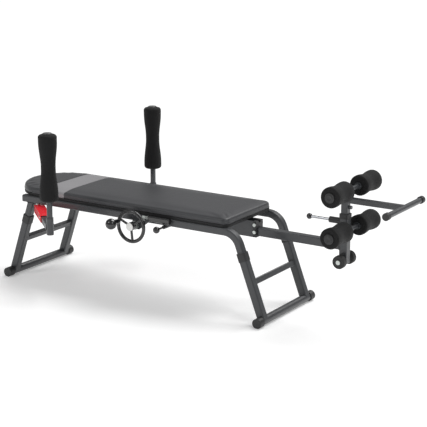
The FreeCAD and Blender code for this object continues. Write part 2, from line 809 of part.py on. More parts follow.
def make_release_lever():
    pivot = Vector(lever_pivot_x, 0, lever_pivot_z)
    gear_centre = Vector(crank_x, 0, boom_z)
    towards = (pivot - gear_centre).normalize()
    across = Vector(-towards.z, 0, towards.x)
    tip = gear_centre + towards * (ratchet_r + pawl_gap)
    back_y = ratchet_back_y - (ratchet_thickness - lever_plate) / 2
    level = Vector(0, back_y, 0)
    thick = Vector(0, -lever_plate, 0)
    tip_side = across * pawl_tip_half
    root_side = across * pawl_root_half
    pawl = prism([tip + level + tip_side, pivot + level + root_side,
                  pivot + level - root_side, tip + level - tip_side], thick)
    eye = rod(pivot + level, pivot + level + thick, lever_eye_r)
    tongue = box(lever_pivot_x, grip_x + tongue_length, back_y - lever_plate, back_y,
                 grip_z - tongue_height / 2, grip_z + tongue_height / 2)
    lever = pawl.fuse(eye).fuse(tongue)
    return lever.cut(rod(pivot + level, pivot + level + thick, lever_pin_r + shaft_gap))


def make_release_grip():
    start = Vector(grip_x, -rail_outer_y - grip_gap - grip_thickness / 2, grip_z)
    end = start + Vector(grip_length, 0, 0)
    grip = bar(start, end, grip_thickness, grip_height, grip_corner, Vector(0, 0, 1))
    slot_y = ratchet_back_y - (ratchet_thickness - lever_plate) / 2
    slot = box(grip_x, grip_x + tongue_length, slot_y - lever_plate, slot_y,
               grip_z - tongue_height / 2, grip_z + tongue_height / 2)
    return grip.cut(slot)


def make_pull_rod():
    nose = Vector(pull_rod_x, -housing_inner - pull_nose_gap, pull_rod_z)
    middle = Vector(pull_rod_x, pull_ball_y, pull_rod_z)
    shaft = rod(middle + Vector(0, pull_rod_root, 0), nose, pull_rod_r)
    ball = Part.makeSphere(pull_ball_r, middle)
    return group([shaft, ball.cut(shaft)])


def make_pull_barrel():
    front = Vector(pull_rod_x, pull_barrel_front_y, pull_rod_z)
    back = Vector(pull_rod_x, -housing_half, pull_rod_z)
    return pipe(front, back, pull_barrel_r, pull_rod_r + shaft_gap)


# ---- armpit posts, near side; the far side is the mirror image ----
def arm_point(along, across, height):
    pivot = Vector(arm_pivot_x, -rail_y, height)
    forward = Vector(post_x - arm_pivot_x, rail_y - post_y, 0).normalize()
    side = Vector(-forward.y, forward.x, 0)
    return pivot + forward * along + side * across


def make_arm():
    up = Vector(0, 0, 1)
    start = arm_point(0, 0, arm_z)
    end = arm_point(arm_reach, 0, arm_z)
    arm = box_tube(start, end, arm_width, arm_height, arm_corner, arm_wall, up)
    low = Vector(0, 0, -arm_height / 2)
    high = Vector(0, 0, arm_height / 2)
    arm = arm.fuse(rod(start + low, start + high, arm_width / 2))
    arm = arm.cut(rod(start + low, start + high, pivot_bolt_r + shaft_gap))
    post_low = Vector(post_x, -post_y, socket_bottom_z)
    post_high = Vector(post_x, -post_y, socket_top_z)
    floor = Vector(post_x, -post_y, post_bottom_z)
    arm = arm.cut(rod(post_low, post_high, socket_r)).fuse(rod(post_low, post_high, socket_r))
    arm = arm.cut(rod(floor, post_high, post_tube_r + socket_gap))
    pin_low = arm_point(lock_lever_pin_at, -arm_width / 2 - lock_lever_wall - lock_lever_gap, arm_z)
    pin_high = arm_point(lock_lever_pin_at, arm_width / 2 + lock_lever_wall + lock_lever_gap, arm_z)
    return arm.fuse(rod(pin_low, pin_high, lock_lever_pin_r))


def arm_profile(outline, half_width):
    """Block over the arm, from a side outline given as distances along it and heights."""
    side = arm_point(0, 1, 0) - arm_point(0, 0, 0)
    points = [arm_point(along, -half_width, height) for along, height in outline]
    return prism(points, side * (2 * half_width))


def make_lock_lever():
    half_inner = arm_width / 2 + lock_lever_gap
    half_outer = half_inner + lock_lever_wall
    outer = arm_profile((
        (lock_lever_start, lock_lever_bottom),
        (lock_lever_start, lock_lever_top),
        (lock_lever_flat, lock_lever_top),
        (lock_lever_end - lock_lever_nose, lock_lever_tip_top),
        (lock_lever_end, lock_lever_tip_top - lock_lever_nose),
        (lock_lever_end + lock_lever_nose, lock_lever_bottom),
    ), half_outer)
    inner = arm_profile((
        (0, arm_z - arm_height),
        (0, lock_lever_top - lock_lever_wall),
        (lock_lever_flat, lock_lever_top - lock_lever_wall),
        (lock_lever_end - lock_lever_nose, lock_lever_tip_top - lock_lever_wall),
        (lock_lever_end + lock_lever_nose * 2, lock_lever_tip_top - lock_lever_wall),
        (lock_lever_end + lock_lever_nose * 2, arm_z - arm_height),
    ), half_inner)
    pin_low = arm_point(lock_lever_pin_at, -half_outer - lock_pin_proud, arm_z)
    pin_high = arm_point(lock_lever_pin_at, half_outer + lock_pin_proud, arm_z)
    return outer.cut(inner).cut(rod(pin_low, pin_high, lock_lever_pin_r + shaft_gap))


def make_pivot_bolt():
    top = arm_z + arm_height / 2
    low = arm_z - arm_height / 2
    at = Vector(arm_pivot_x, -rail_y, 0)
    up = Vector(0, 0, 1)
    head_top = low - pivot_gap
    bolt = rod(at + up * head_top, at + up * rail_z, pivot_bolt_r)
    head = rod(at + up * (head_top - pivot_bolt_head_height), at + up * head_top, pivot_bolt_head_r)
    spacer = rod(at + up * (top + pivot_gap), at + up * rail_bottom, pivot_spacer_r)
    return bolt.fuse(head).fuse(spacer)


def make_post_tube():
    low = Vector(post_x, -post_y, post_bottom_z)
    high = Vector(post_x, -post_y, post_foam_top)
    return pipe(low, high, post_tube_r, post_tube_r - post_tube_wall)


def hourglass(length, outer_r, waist_r, edge_r, bore_r):
    """Foam sleeve about the Z axis, from z = 0 to its length, waisted in the middle."""
    turn = edge_r * (1 - math.sqrt(0.5))
    profile = [
        Part.LineSegment(Vector(bore_r, 0, 0), Vector(outer_r - edge_r, 0, 0)),
        Part.Arc(Vector(outer_r - edge_r, 0, 0), Vector(outer_r - turn, 0, turn),
                 Vector(outer_r, 0, edge_r)),
        Part.Arc(Vector(outer_r, 0, edge_r), Vector(waist_r, 0, length / 2),
                 Vector(outer_r, 0, length - edge_r)),
        Part.Arc(Vector(outer_r, 0, length - edge_r), Vector(outer_r - turn, 0, length - turn),
                 Vector(outer_r - edge_r, 0, length)),
        Part.LineSegment(Vector(outer_r - edge_r, 0, length), Vector(bore_r, 0, length)),
        Part.LineSegment(Vector(bore_r, 0, length), Vector(bore_r, 0, 0)),
    ]
    face = Part.Face(Part.Wire([curve.toShape() for curve in profile]))
    return face.revolve(Vector(0, 0, 0), Vector(0, 0, 1), 360)


def make_post_foam():
    foam = hourglass(post_foam_length, post_foam_r, post_foam_waist_r, post_foam_edge_r, post_tube_r)
    foam.translate(Vector(post_x, -post_y, post_foam_bottom))
    return foam


def make_post_cap():
    base = Vector(post_x, -post_y, post_foam_top)
    cap = rod(base, base + Vector(0, 0, post_cap_height), post_cap_r)
    top_z = post_foam_top + post_cap_height
    top_edges = [edge for edge in cap.Edges if edge.BoundBox.ZMin > top_z - edge_tolerance]
    cap = cap.makeFillet(post_cap_edge_r, top_edges)
    plug = rod(base - Vector(0, 0, post_plug_length), base, post_tube_r - post_tube_wall)
    return cap.fuse(plug)


# ---- ankle column, rollers and handle ----
def column_tube(bottom, top, size, wall):
    return box_tube(Vector(column_x, 0, bottom), Vector(column_x, 0, top), size, size, sleeve_corner, wall,
                    Vector(1, 0, 0))


def make_sleeve():
    sleeve = column_tube(sleeve_bottom_z, sleeve_top_z, sleeve_size, sleeve_wall)
    at = Vector(column_x, 0, transport_wheel_z)
    across = Vector(0, sleeve_size, 0)
    sleeve = sleeve.cut(rod(at - across, at + across, transport_axle_r))
    back = Vector(column_x - sleeve_size, 0, pin_z)
    return sleeve.cut(rod(back, Vector(column_x, 0, pin_z), pin_rod_r + pin_gap))


def make_column_collar():
    low = sleeve_top_z - column_collar_below
    high = sleeve_top_z + column_collar_above
    outer = sleeve_size + 2 * column_collar_wall
    up = Vector(1, 0, 0)

    def block(z0, z1, size, corner):
        return bar(Vector(column_x, 0, z0), Vector(column_x, 0, z1), size, size, corner, up)

    collar = block(low, high, outer, sleeve_corner + column_collar_wall)
    collar = collar.cut(block(low, sleeve_top_z, sleeve_size, sleeve_corner))
    return collar.cut(block(sleeve_top_z, high, column_size + 2 * column_collar_gap, sleeve_corner))


def make_axle(z, face_x):
    """Cross tube for a pair of rollers, with its saddle and the collars inboard of the foam."""
    half = roller_outer_y + plug_gap
    tube = pipe(Vector(axle_x, -half, z), Vector(axle_x, half, z), axle_r, axle_r - axle_wall)
    saddle = box(face_x, axle_x, -saddle_half, saddle_half, z - axle_r, z + axle_r)
    core = rod(Vector(axle_x, -half, z), Vector(axle_x, half, z), axle_r - axle_wall)
    axle = tube.fuse(saddle.cut(core))
    for side in (-1, 1):
        inner = Vector(axle_x, side * (roller_inner_y - plug_gap - stop_collar_width), z)
        outer = Vector(axle_x, side * (roller_inner_y - plug_gap), z)
        axle = axle.fuse(pipe(inner, outer, stop_collar_r, axle_r - axle_wall))
    return axle


def make_axle_plugs(z):
    inner = Vector(axle_x, -roller_outer_y - plug_gap, z)
    outer = inner - Vector(0, plug_thickness, 0)
    plug = rod(inner, outer, plug_r)
    rim = [edge for edge in plug.Edges if abs(edge.BoundBox.YMax - outer.y) < edge_tolerance]
    plug = plug.makeChamfer(plug_chamfer, rim)
    stem = rod(inner, inner + Vector(0, plug_stem_length, 0), axle_r - axle_wall)
    return group(both_sides(plug.fuse(stem)))


def make_roller(z):
    foam = hourglass(roller_length, roller_r, roller_waist_r, roller_edge_r, axle_r + roller_gap)
    foam.rotate(Vector(0, 0, 0), Vector(1, 0, 0), 90)
    foam.translate(Vector(axle_x, -roller_inner_y, z))
    return foam


def make_upper_column():
    tube = column_tube(column_bottom_z, column_top_z, column_size, sleeve_wall)
    for index in range(column_hole_count):
        inside = Vector(column_x, 0, pin_z + (1 - index) * column_hole_pitch)
        tube = tube.cut(rod(inside, inside - Vector(column_size, 0, 0), pin_rod_r + lock_hole_gap))
    plug = bar(Vector(column_x, 0, column_top_z - column_lid), Vector(column_x, 0, column_top_z),
               column_size, column_size, sleeve_corner, Vector(1, 0, 0))
    face_x = column_x + column_size / 2
    screw_root = Vector(face_x, 0, stop_screw_z)
    screw = rod(screw_root, screw_root + Vector(stop_screw_length, 0, 0), stop_screw_r)
    return tube.fuse(plug).fuse(screw)


def make_t_handle():
    bar_low = Vector(t_bar_x, -t_bar_length / 2 + t_cap_end, t_arm_z)
    bar_high = Vector(t_bar_x, t_bar_length / 2 - t_cap_end, t_arm_z)
    cross = pipe(bar_low, bar_high, t_bar_r, t_bar_r - t_arm_wall)
    arm = box_tube(Vector(column_x + column_size / 2, 0, t_arm_z), Vector(t_bar_x, 0, t_arm_z), t_arm_size,
                   t_arm_size, rung_corner, t_arm_wall, Vector(0, 0, 1))
    arm = arm.cut(rod(bar_low, bar_high, t_bar_r))
    largest = max(arm.Solids, key=lambda solid: solid.Volume)
    return group([largest, cross])


def make_t_cap():
    start = Vector(t_bar_x, -t_bar_length / 2, t_arm_z)
    cap = rod(start, start + Vector(0, t_cap_length, 0), t_cap_r)
    return cap.cut(rod(start + Vector(0, t_cap_end, 0), start + Vector(0, t_cap_length, 0), t_bar_r))


def make_column_pin():
    nose_x = column_x - column_size / 2 - pin_nose_gap
    shaft = rod(Vector(pin_ball_x + pin_rod_root, 0, pin_z), Vector(nose_x, 0, pin_z), pin_rod_r)
    ball = Part.makeSphere(pin_ball_r, Vector(pin_ball_x, 0, pin_z))
    return group([shaft, ball.cut(shaft)])


def make_pin_barrel():
    face_x = column_x - sleeve_size / 2
    return pipe(Vector(face_x - pin_barrel_length, 0, pin_z), Vector(face_x, 0, pin_z), pin_barrel_r,
                pin_rod_r + pin_gap)


def make_transport_axle():
    outer_y = transport_wheel_y + transport_wheel_width / 2 + transport_side_gap
    low = Vector(column_x, -outer_y, transport_wheel_z)
    high = Vector(column_x, outer_y, transport_wheel_z)
    out = Vector(0, transport_head_height, 0)
    axle = rod(low, high, transport_axle_r)
    axle = axle.fuse(rod(low - out, low, transport_head_r)).fuse(rod(high, high + out, transport_head_r))
    bush_outer = transport_wheel_y - transport_wheel_width / 2 - transport_side_gap
    for side in (-1, 1):
        inner = Vector(column_x, side * sleeve_size / 2, transport_wheel_z)
        outer = Vector(column_x, side * bush_outer, transport_wheel_z)
        axle = axle.fuse(rod(inner, outer, transport_axle_r + transport_spacer_wall))
    return axle


def make_transport_wheel():
    inner = Vector(column_x, -transport_wheel_y + transport_wheel_width / 2, transport_wheel_z)
    outer = inner - Vector(0, transport_wheel_width, 0)
    wheel = rod(inner, outer, transport_wheel_r)
    rims = [edge for edge in wheel.Edges
            if edge.BoundBox.YLength < edge_tolerance and edge.BoundBox.XLength > transport_wheel_r]
    wheel = wheel.makeFillet(transport_edge_r, rims)
    return wheel.cut(rod(inner, outer, transport_axle_r + shaft_gap))


def build_bench():
    rail = make_side_rail()
    save("side_rail_near", rail)
    save("side_rail_far", mirror_y(rail))
    save("head_leg_posts", group(both_sides(make_head_leg_post())))
    save("rail_end_caps", group(both_sides(make_rail_cap())))
    save("cross_tubes", make_cross_tubes())
    save("leg_snap_buttons", group(both_sides(make_snap_button(-1)) + both_sides(make_snap_button(1))))
    save("pad_board", make_pad_layer(board_inset, rail_top, board_thickness))
    save("pad_cushion", make_cushion())
    for end, name, rung_z in ((-1, "head", head_rung_z), (1, "foot", foot_rung_z)):
        save(name + "_leg_frame", make_leg_frame(end, rung_z))
        save(name + "_floor_caps", group(both_sides(make_floor_cap(end))))
        save(name + "_leg_collars", group(both_sides(make_leg_collar(end))))


def build_drive():
    save("boom_housing", make_housing())
    save("guide_block", make_guide_block())
    save("guide_bolts", make_guide_bolts())
    save("crank_bracket", make_crank_bracket())
    save("crank_bushes", make_crank_bushes())
    save("crank_shaft", make_crank_shaft())
    save("pinion", make_pinion())
    save("ratchet_wheel", make_ratchet_wheel())
    save("handwheel", make_handwheel())
    save("crank_knob", make_crank_knob())
    save("release_lever", make_release_lever())
    save("release_grip", make_release_grip())
    save("pull_rod", make_pull_rod())
    save("pull_rod_barrel", make_pull_barrel())
    save("boom_tube", make_boom_tube())
    save("boom_shoe", make_shoe())
    save("rack", make_rack())


def build_posts():
    makers = {
        "post_arm": make_arm(),
        "lock_lever": make_lock_lever(),
        "post_tube": make_post_tube(),
        "post_foam": make_post_foam(),
        "post_cap": make_post_cap(),
    }
    for name, shape in makers.items():
        save(name + "_near", shape)
        save(name + "_far", mirror_y(shape))
    save("arm_pivot_bolts", group(both_sides(make_pivot_bolt())))


def build_ankle_column():
    save("column_sleeve", make_sleeve())
    save("column_collar", make_column_collar())
    save("lower_axle", make_axle(lower_roller_z, column_x + sleeve_size / 2))
    save("lower_axle_plugs", make_axle_plugs(lower_roller_z))
    save("upper_column", make_upper_column())
    save("upper_axle", make_axle(upper_roller_z, column_x + column_size / 2))
    save("upper_axle_plugs", make_axle_plugs(upper_roller_z))
    for name, z in (("lower", lower_roller_z), ("upper", upper_roller_z)):
        roller = make_roller(z)
        save(name + "_roller_near", roller)
        save(name + "_roller_far", mirror_y(roller))
    save("t_handle", make_t_handle())
    save("t_bar_caps", group(both_sides(make_t_cap())))
    save("column_pin", make_column_pin())
    save("column_pin_barrel", make_pin_barrel())
    save("transport_axle", make_transport_axle())
    wheel = make_transport_wheel()
    save("transport_wheel_near", wheel)
    save("transport_wheel_far", mirror_y(wheel))


build_bench()
build_drive()
build_posts()
build_ankle_column()
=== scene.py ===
import json
import math
import bmesh
import bpy
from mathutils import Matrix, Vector, noise


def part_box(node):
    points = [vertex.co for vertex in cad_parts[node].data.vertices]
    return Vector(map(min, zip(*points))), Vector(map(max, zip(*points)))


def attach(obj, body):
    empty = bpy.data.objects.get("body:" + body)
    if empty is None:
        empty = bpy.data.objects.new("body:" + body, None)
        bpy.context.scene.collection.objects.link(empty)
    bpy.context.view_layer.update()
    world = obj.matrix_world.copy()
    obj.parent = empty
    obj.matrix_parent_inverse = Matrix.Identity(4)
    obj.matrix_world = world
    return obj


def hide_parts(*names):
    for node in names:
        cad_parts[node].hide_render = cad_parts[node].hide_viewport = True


# Decline sit up bench. Metres, +X towards the ankle rollers, +Z up, the handwheel is on the -Y side.

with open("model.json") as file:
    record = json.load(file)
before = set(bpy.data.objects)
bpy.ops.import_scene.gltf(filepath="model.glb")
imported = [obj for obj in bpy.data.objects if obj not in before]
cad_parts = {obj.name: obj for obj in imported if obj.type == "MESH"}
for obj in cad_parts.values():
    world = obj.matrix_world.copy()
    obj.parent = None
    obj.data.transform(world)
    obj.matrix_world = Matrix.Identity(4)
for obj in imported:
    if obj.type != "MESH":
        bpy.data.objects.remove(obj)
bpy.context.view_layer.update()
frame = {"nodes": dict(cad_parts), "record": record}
print("frame loaded,", len(frame["nodes"]), "nodes")


# A value on its way through a node tree. Adding, subtracting, multiplying or comparing it adds Math nodes.
class Signal:
    def __init__(self, graph, node, output):
        self.graph = graph
        self.node = node
        self.socket = node.outputs[output]

    def out(self, name):
        return Signal(self.graph, self.node, name)

    def math(self, operation, first, second):
        return self.graph.add("ShaderNodeMath", {"operation": operation}, {0: first, 1: second})

    def __add__(self, other):
        return self.math("ADD", self, other)

    def __radd__(self, other):
        return self.math("ADD", other, self)

    def __sub__(self, other):
        return self.math("SUBTRACT", self, other)

    def __rsub__(self, other):
        return self.math("SUBTRACT", other, self)

    def __mul__(self, other):
        return self.math("MULTIPLY", self, other)

    def __rmul__(self, other):
        return self.math("MULTIPLY", other, self)

    def __gt__(self, other):
        return self.math("GREATER_THAN", self, other)

    def __lt__(self, other):
        return self.math("LESS_THAN", self, other)


# A node tree, material or geometry, and the ways to add to it.
class Graph:
    def __init__(self, tree):
        self.tree = tree

    def feed(self, socket, value):
        if isinstance(value, Signal):
            self.tree.links.new(value.socket, socket)
        else:
            socket.default_value = value

    def add(self, kind, settings=None, inputs=None, output=0):
        node = self.tree.nodes.new(kind)
        for key, value in (settings or {}).items():
            if key == "stops":
                for index, (position, shade) in enumerate(value):
                    if index >= len(node.color_ramp.elements):
                        node.color_ramp.elements.new(position)
                    node.color_ramp.elements[index].position = position
                    node.color_ramp.elements[index].color = (shade, shade, shade, 1)
            else:
                setattr(node, key, value)
        for key, value in (inputs or {}).items():
            self.feed(node.inputs[key], value)
        return Signal(self, node, output)


# ---- finishes ----
class Finish(Graph):
    def __init__(self, name, constants):
        self.material = bpy.data.materials.new(name)
        self.material.use_nodes = True
        super().__init__(self.material.node_tree)
        self.shader = self.tree.nodes["Principled BSDF"]
        self.place = self.add("ShaderNodeTexCoord", output="Object")
        for key, value in constants.items():
            self.shader.inputs[key].default_value = value

    def noise(self, scale, detail=2.0, vector=None):
        inputs = {"Vector": vector or self.place, "Scale": scale, "Detail": detail}
        return self.add("ShaderNodeTexNoise", {}, inputs)

    def stretched(self, factors):
        return self.add("ShaderNodeMapping", {}, {"Vector": self.place, "Scale": factors})

    def blend(self, factor, first, second):
        return self.add("ShaderNodeMix", {"data_type": "RGBA"}, {0: factor, 6: first, 7: second}, 2)

    def steps(self, factor, stops):
        return self.add("ShaderNodeValToRGB", {"stops": stops}, {"Fac": factor})

    def bump(self, height, depth, under=None):
        inputs = {"Height": height, "Distance": depth, "Strength": 1.0}
        if under is not None:
            inputs["Normal"] = under
        return self.add("ShaderNodeBump", {}, inputs, "Normal")

    def show(self, **signals):
        names = {"colour": "Base Color", "roughness": "Roughness", "normal": "Normal", "metallic": "Metallic"}
        for key, value in signals.items():
            self.feed(self.shader.inputs[names[key]], value)
        return self.material


def tint(colour, factor=1.0):
    return tuple(min(1.0, channel * factor) for channel in colour) + (1.0,)


def mouldedFinish(name, look):
    finish = Finish(name, look.get("constants", {}))
    broad = finish.noise(look["blotchScale"], 3.0)
    fine = finish.noise(look["grainScale"], 3.0)
    rubbed = finish.steps(finish.noise(look["rubScale"], 5.0, finish.stretched(look["rubStretch"])),
                          ((look["rubFrom"], 0.0), (look["rubFrom"] + look["rubFade"], 1.0)))
    base = finish.blend(broad, tint(look["colour"], 1 - look["spread"]),
                        tint(look["colour"], 1 + look["spread"]))
    colour = finish.blend(rubbed * look["rubAmount"], base, tint(look["rubColour"]))
    roughness = broad * look["roughSpread"] + rubbed * look["rubRoughness"] + look["roughness"]
    peel = finish.bump(broad, look["peelDepth"])
    return finish.show(colour=colour, roughness=roughness, normal=finish.bump(fine, look["grainDepth"], peel))


plainLook = {
    # rubbed places are lighter, and begin where their noise passes rubFrom
    "colour": (0.02, 0.02, 0.021), "spread": 0.12, "blotchScale": 60.0, "grainScale": 2200.0,
    "grainDepth": 0.00004, "peelDepth": 0.0001, "roughness": 0.38, "roughSpread": 0.12,
    "rubScale": 90.0, "rubStretch": (1.0, 0.3, 0.3), "rubFrom": 0.66, "rubFade": 0.12, "rubAmount": 0.25,
    "rubColour": (0.16, 0.16, 0.16), "rubRoughness": 0.15,
}


def varied(**changes):
    return {**plainLook, **changes}


finishes = {
    "charcoal_paint": mouldedFinish("charcoalPaint", varied(
        colour=(0.038, 0.040, 0.044), roughness=0.32, peelDepth=0.00012, blotchScale=240.0,
        rubAmount=0.2, constants={"Coat Weight": 0.25, "Coat Roughness": 0.12})),
    "black_plastic": mouldedFinish("blackPlastic", varied(roughness=0.42, grainDepth=0.00006)),
    "black_casting": mouldedFinish("wheelEnamel", varied(
        colour=(0.014, 0.014, 0.015), roughness=0.2, roughSpread=0.08, constants={"Coat Weight": 0.4})),
    "gloss_black": mouldedFinish("glossBlack", varied(
        colour=(0.008, 0.008, 0.009), roughness=0.06, roughSpread=0.05, grainDepth=0.000004, peelDepth=0.00001,
        rubAmount=0.08, rubRoughness=0.06, constants={"Coat Weight": 0.6, "Coat Roughness": 0.03})),
    "red_plastic": mouldedFinish("redPlastic", varied(
        colour=(0.90, 0.022, 0.035), spread=0.06, roughness=0.2, roughSpread=0.1, grainDepth=0.00001,
        rubAmount=0.12, rubColour=(0.8, 0.3, 0.3), constants={"Coat Weight": 0.4})),
    "wheel_tread": mouldedFinish("wheelTread", varied(
        colour=(0.018, 0.018, 0.018), roughness=0.55, rubAmount=0.35, rubColour=(0.12, 0.115, 0.105))),
    "chrome": mouldedFinish("chromePlate", varied(
        colour=(0.42, 0.43, 0.45), spread=0.03, roughness=0.12, roughSpread=0.08, grainDepth=0.000003,
        peelDepth=0.000008, rubAmount=0.1, rubColour=(0.6, 0.6, 0.6), constants={"Metallic": 1.0})),
    "bronze": mouldedFinish("bushBronze", varied(
        colour=(0.55, 0.36, 0.17), roughness=0.3, rubAmount=0.3, rubColour=(0.35, 0.2, 0.1),
        constants={"Metallic": 1.0})),
    "hubWhite": mouldedFinish("hubWhite", varied(
        colour=(0.82, 0.82, 0.8), spread=0.03, roughness=0.25, rubAmount=0.1, rubColour=(0.6, 0.58, 0.54))),
}

zincLook = {
    "colour": (0.60, 0.63, 0.60), "darkShare": 0.82, "lightShare": 1.12, "roughness": 0.3, "stainScale": 22.0,
    "stainRoughness": 0.16, "spangleScale": 160.0, "spangleColour": (0.7, 0.74, 0.76), "spangleAmount": 0.3,
    "drawnScale": 700.0, "drawnStretch": (0.08, 1.0, 1.0), "drawnRoughness": 0.12, "drawnDepth": 0.00003,
}


def makeZinc():
    finish = Finish("zincPlate", {"Metallic": 1.0})
    spangle = finish.add("ShaderNodeTexVoronoi", {}, {"Vector": finish.place, "Scale": zincLook["spangleScale"]},
                         "Distance")
    drawn = finish.noise(zincLook["drawnScale"], 3.0, finish.stretched(zincLook["drawnStretch"]))
    stain = finish.noise(zincLook["stainScale"], 4.0)
    base = finish.blend(stain, tint(zincLook["colour"], zincLook["darkShare"]),
                        tint(zincLook["colour"], zincLook["lightShare"]))
    colour = finish.blend(spangle * zincLook["spangleAmount"], base, tint(zincLook["spangleColour"]))
    roughness = stain * zincLook["stainRoughness"] + drawn * zincLook["drawnRoughness"] + zincLook["roughness"]
    return finish.show(colour=colour, roughness=roughness, normal=finish.bump(drawn, zincLook["drawnDepth"]))


finishes["zinc_steel"] = makeZinc()

vinylLook = {
    # the stripe's start and end are measured from the pad's head end
    "colour": (0.032, 0.033, 0.037), "darkShare": 0.86, "lightShare": 1.18,
    "stripeColour": (0.27, 0.265, 0.275), "stripeDarkShare": 0.93, "stripeLightShare": 1.05,
    "stripeStart": 0.222, "stripeEnd": 0.353, "roughness": 0.34, "wornScale": 7.0, "wornRoughness": 0.16,
    "poreScale": 620.0, "poreDepth": 0.00012, "poreRoughness": 0.2, "creaseScale": 38.0, "creaseDepth": 0.0006,
}
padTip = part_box("pad_cushion")[0].x
seamPlaces = (padTip + vinylLook["stripeStart"], padTip + vinylLook["stripeEnd"])


def makeVinyl():
    finish = Finish("padVinyl", {"Sheen Weight": 0.08, "Coat Weight": 0.1, "Coat Roughness": 0.35})
    pores = finish.add("ShaderNodeTexVoronoi", {"feature": "DISTANCE_TO_EDGE"},
                       {"Vector": finish.place, "Scale": vinylLook["poreScale"]}, "Distance")
    fold = finish.noise(vinylLook["creaseScale"], 3.0)
    worn = finish.noise(vinylLook["wornScale"], 4.0)
    along = finish.add("ShaderNodeSeparateXYZ", {}, {0: finish.place}, "X")
    stripe = (along > seamPlaces[0]) * (along < seamPlaces[1])
    dark = finish.blend(worn, tint(vinylLook["colour"], vinylLook["darkShare"]),
                        tint(vinylLook["colour"], vinylLook["lightShare"]))
    light = finish.blend(worn, tint(vinylLook["stripeColour"], vinylLook["stripeDarkShare"]),
                         tint(vinylLook["stripeColour"], vinylLook["stripeLightShare"]))
    creased = finish.bump(fold, vinylLook["creaseDepth"])
    return finish.show(
        colour=finish.blend(stripe, dark, light),
        roughness=worn * vinylLook["wornRoughness"] + pores * vinylLook["poreRoughness"] + vinylLook["roughness"],
        normal=finish.bump(pores, vinylLook["poreDepth"], creased))


finishes["pad_vinyl"] = makeVinyl()

foamLook = {
    "colour": (0.006, 0.006, 0.0063), "darkShare": 0.7, "lightShare": 1.6, "roughness": 0.74,
    "cellScale": 1300.0, "cellDepth": 0.00025, "speckScaleShare": 0.6, "speckShare": 0.4,
    "dentScale": 55.0, "dentDepth": 0.0004, "dentShare": 0.6, "dentRoughness": 0.12,
}


def makeFoam():
    finish = Finish("closedCellFoam", {"Sheen Weight": 0.04, "Sheen Roughness": 0.5, "Specular IOR Level": 0.3})
    cells = finish.add("ShaderNodeTexVoronoi", {}, {"Vector": finish.place, "Scale": foamLook["cellScale"]},
                       "Distance")
    dents = finish.noise(foamLook["dentScale"], 4.0)
    specks = finish.noise(foamLook["cellScale"] * foamLook["speckScaleShare"], 2.0)
    colour = finish.blend(dents * foamLook["dentShare"] + specks * foamLook["speckShare"],
                          tint(foamLook["colour"], foamLook["darkShare"]),
                          tint(foamLook["colour"], foamLook["lightShare"]))
    dented = finish.bump(dents, foamLook["dentDepth"])
    return finish.show(colour=colour, roughness=dents * foamLook["dentRoughness"] + foamLook["roughness"],
                       normal=finish.bump(cells, foamLook["cellDepth"], dented))


finishes["foam"] = makeFoam()

clothLook = {
    "colour": (0.016, 0.016, 0.017), "darkShare": 0.7, "lightShare": 1.4, "roughness": 0.8,
    "wornScale": 30.0, "wornRoughness": 0.1, "threadScale": 900.0, "threadDepth": 0.0002,
}


def makeBoardCloth():
    finish = Finish("backingCloth", {})
    parts = finish.add("ShaderNodeSeparateXYZ", {}, {0: finish.place}, "X")
    threads = clothLook["threadScale"] * math.tau
    warp = finish.add("ShaderNodeMath", {"operation": "SINE"}, {0: parts * threads})
    weft = finish.add("ShaderNodeMath", {"operation": "SINE"}, {0: parts.out("Y") * threads})
    worn = finish.noise(clothLook["wornScale"], 3.0)
    colour = finish.blend(worn, tint(clothLook["colour"], clothLook["darkShare"]),
                          tint(clothLook["colour"], clothLook["lightShare"]))
    return finish.show(colour=colour, roughness=worn * clothLook["wornRoughness"] + clothLook["roughness"],
                       normal=finish.bump(warp * weft, clothLook["threadDepth"]))


finishes["pad_board"] = makeBoardCloth()

# a CAD node whose look in the photo is not its slot's own
ownLooks = {"crank_bracket": "charcoal_paint"}

for node in frame["record"]["subparts"]:
    cadObject = frame["nodes"][node["node"]]
    for materialSlot in cadObject.material_slots:
        materialSlot.material = finishes[ownLooks.get(node["node"], node["material_slot"])]
print("finishes made,", len(finishes))


# ---- mesh helpers ----
def makePiece(name, points, faces, slotName, body, finish=None):
    mesh = bpy.data.meshes.new(name)
    mesh.from_pydata([tuple(point) for point in points], [], faces)
    shape = bmesh.new()
    shape.from_mesh(mesh)
    bmesh.ops.remove_doubles(shape, verts=shape.verts, dist=1e-6)
    bmesh.ops.recalc_face_normals(shape, faces=shape.faces)
    shape.to_mesh(mesh)
    shape.free()
    piece = bpy.data.objects.new(name, mesh)
    bpy.context.scene.collection.objects.link(piece)
    finishPiece(piece, slotName, body, finish)
    return piece


def finishPiece(piece, slotName, body, finish=None, sharpAngle=40.0):
    piece.data.materials.clear()
    piece.data.materials.append(finishes[finish or slotName])
    piece.data.shade_smooth()
    piece.data.set_sharp_from_angle(angle=math.radians(sharpAngle))
    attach(piece, body)


def sideways(direction):
    forward = Vector(direction).normalized()
    helper = Vector((0, 0, 1)) if abs(forward.z) < 0.9 else Vector((1, 0, 0))
    first = helper.cross(forward).normalized()
    return forward, first, forward.cross(first)


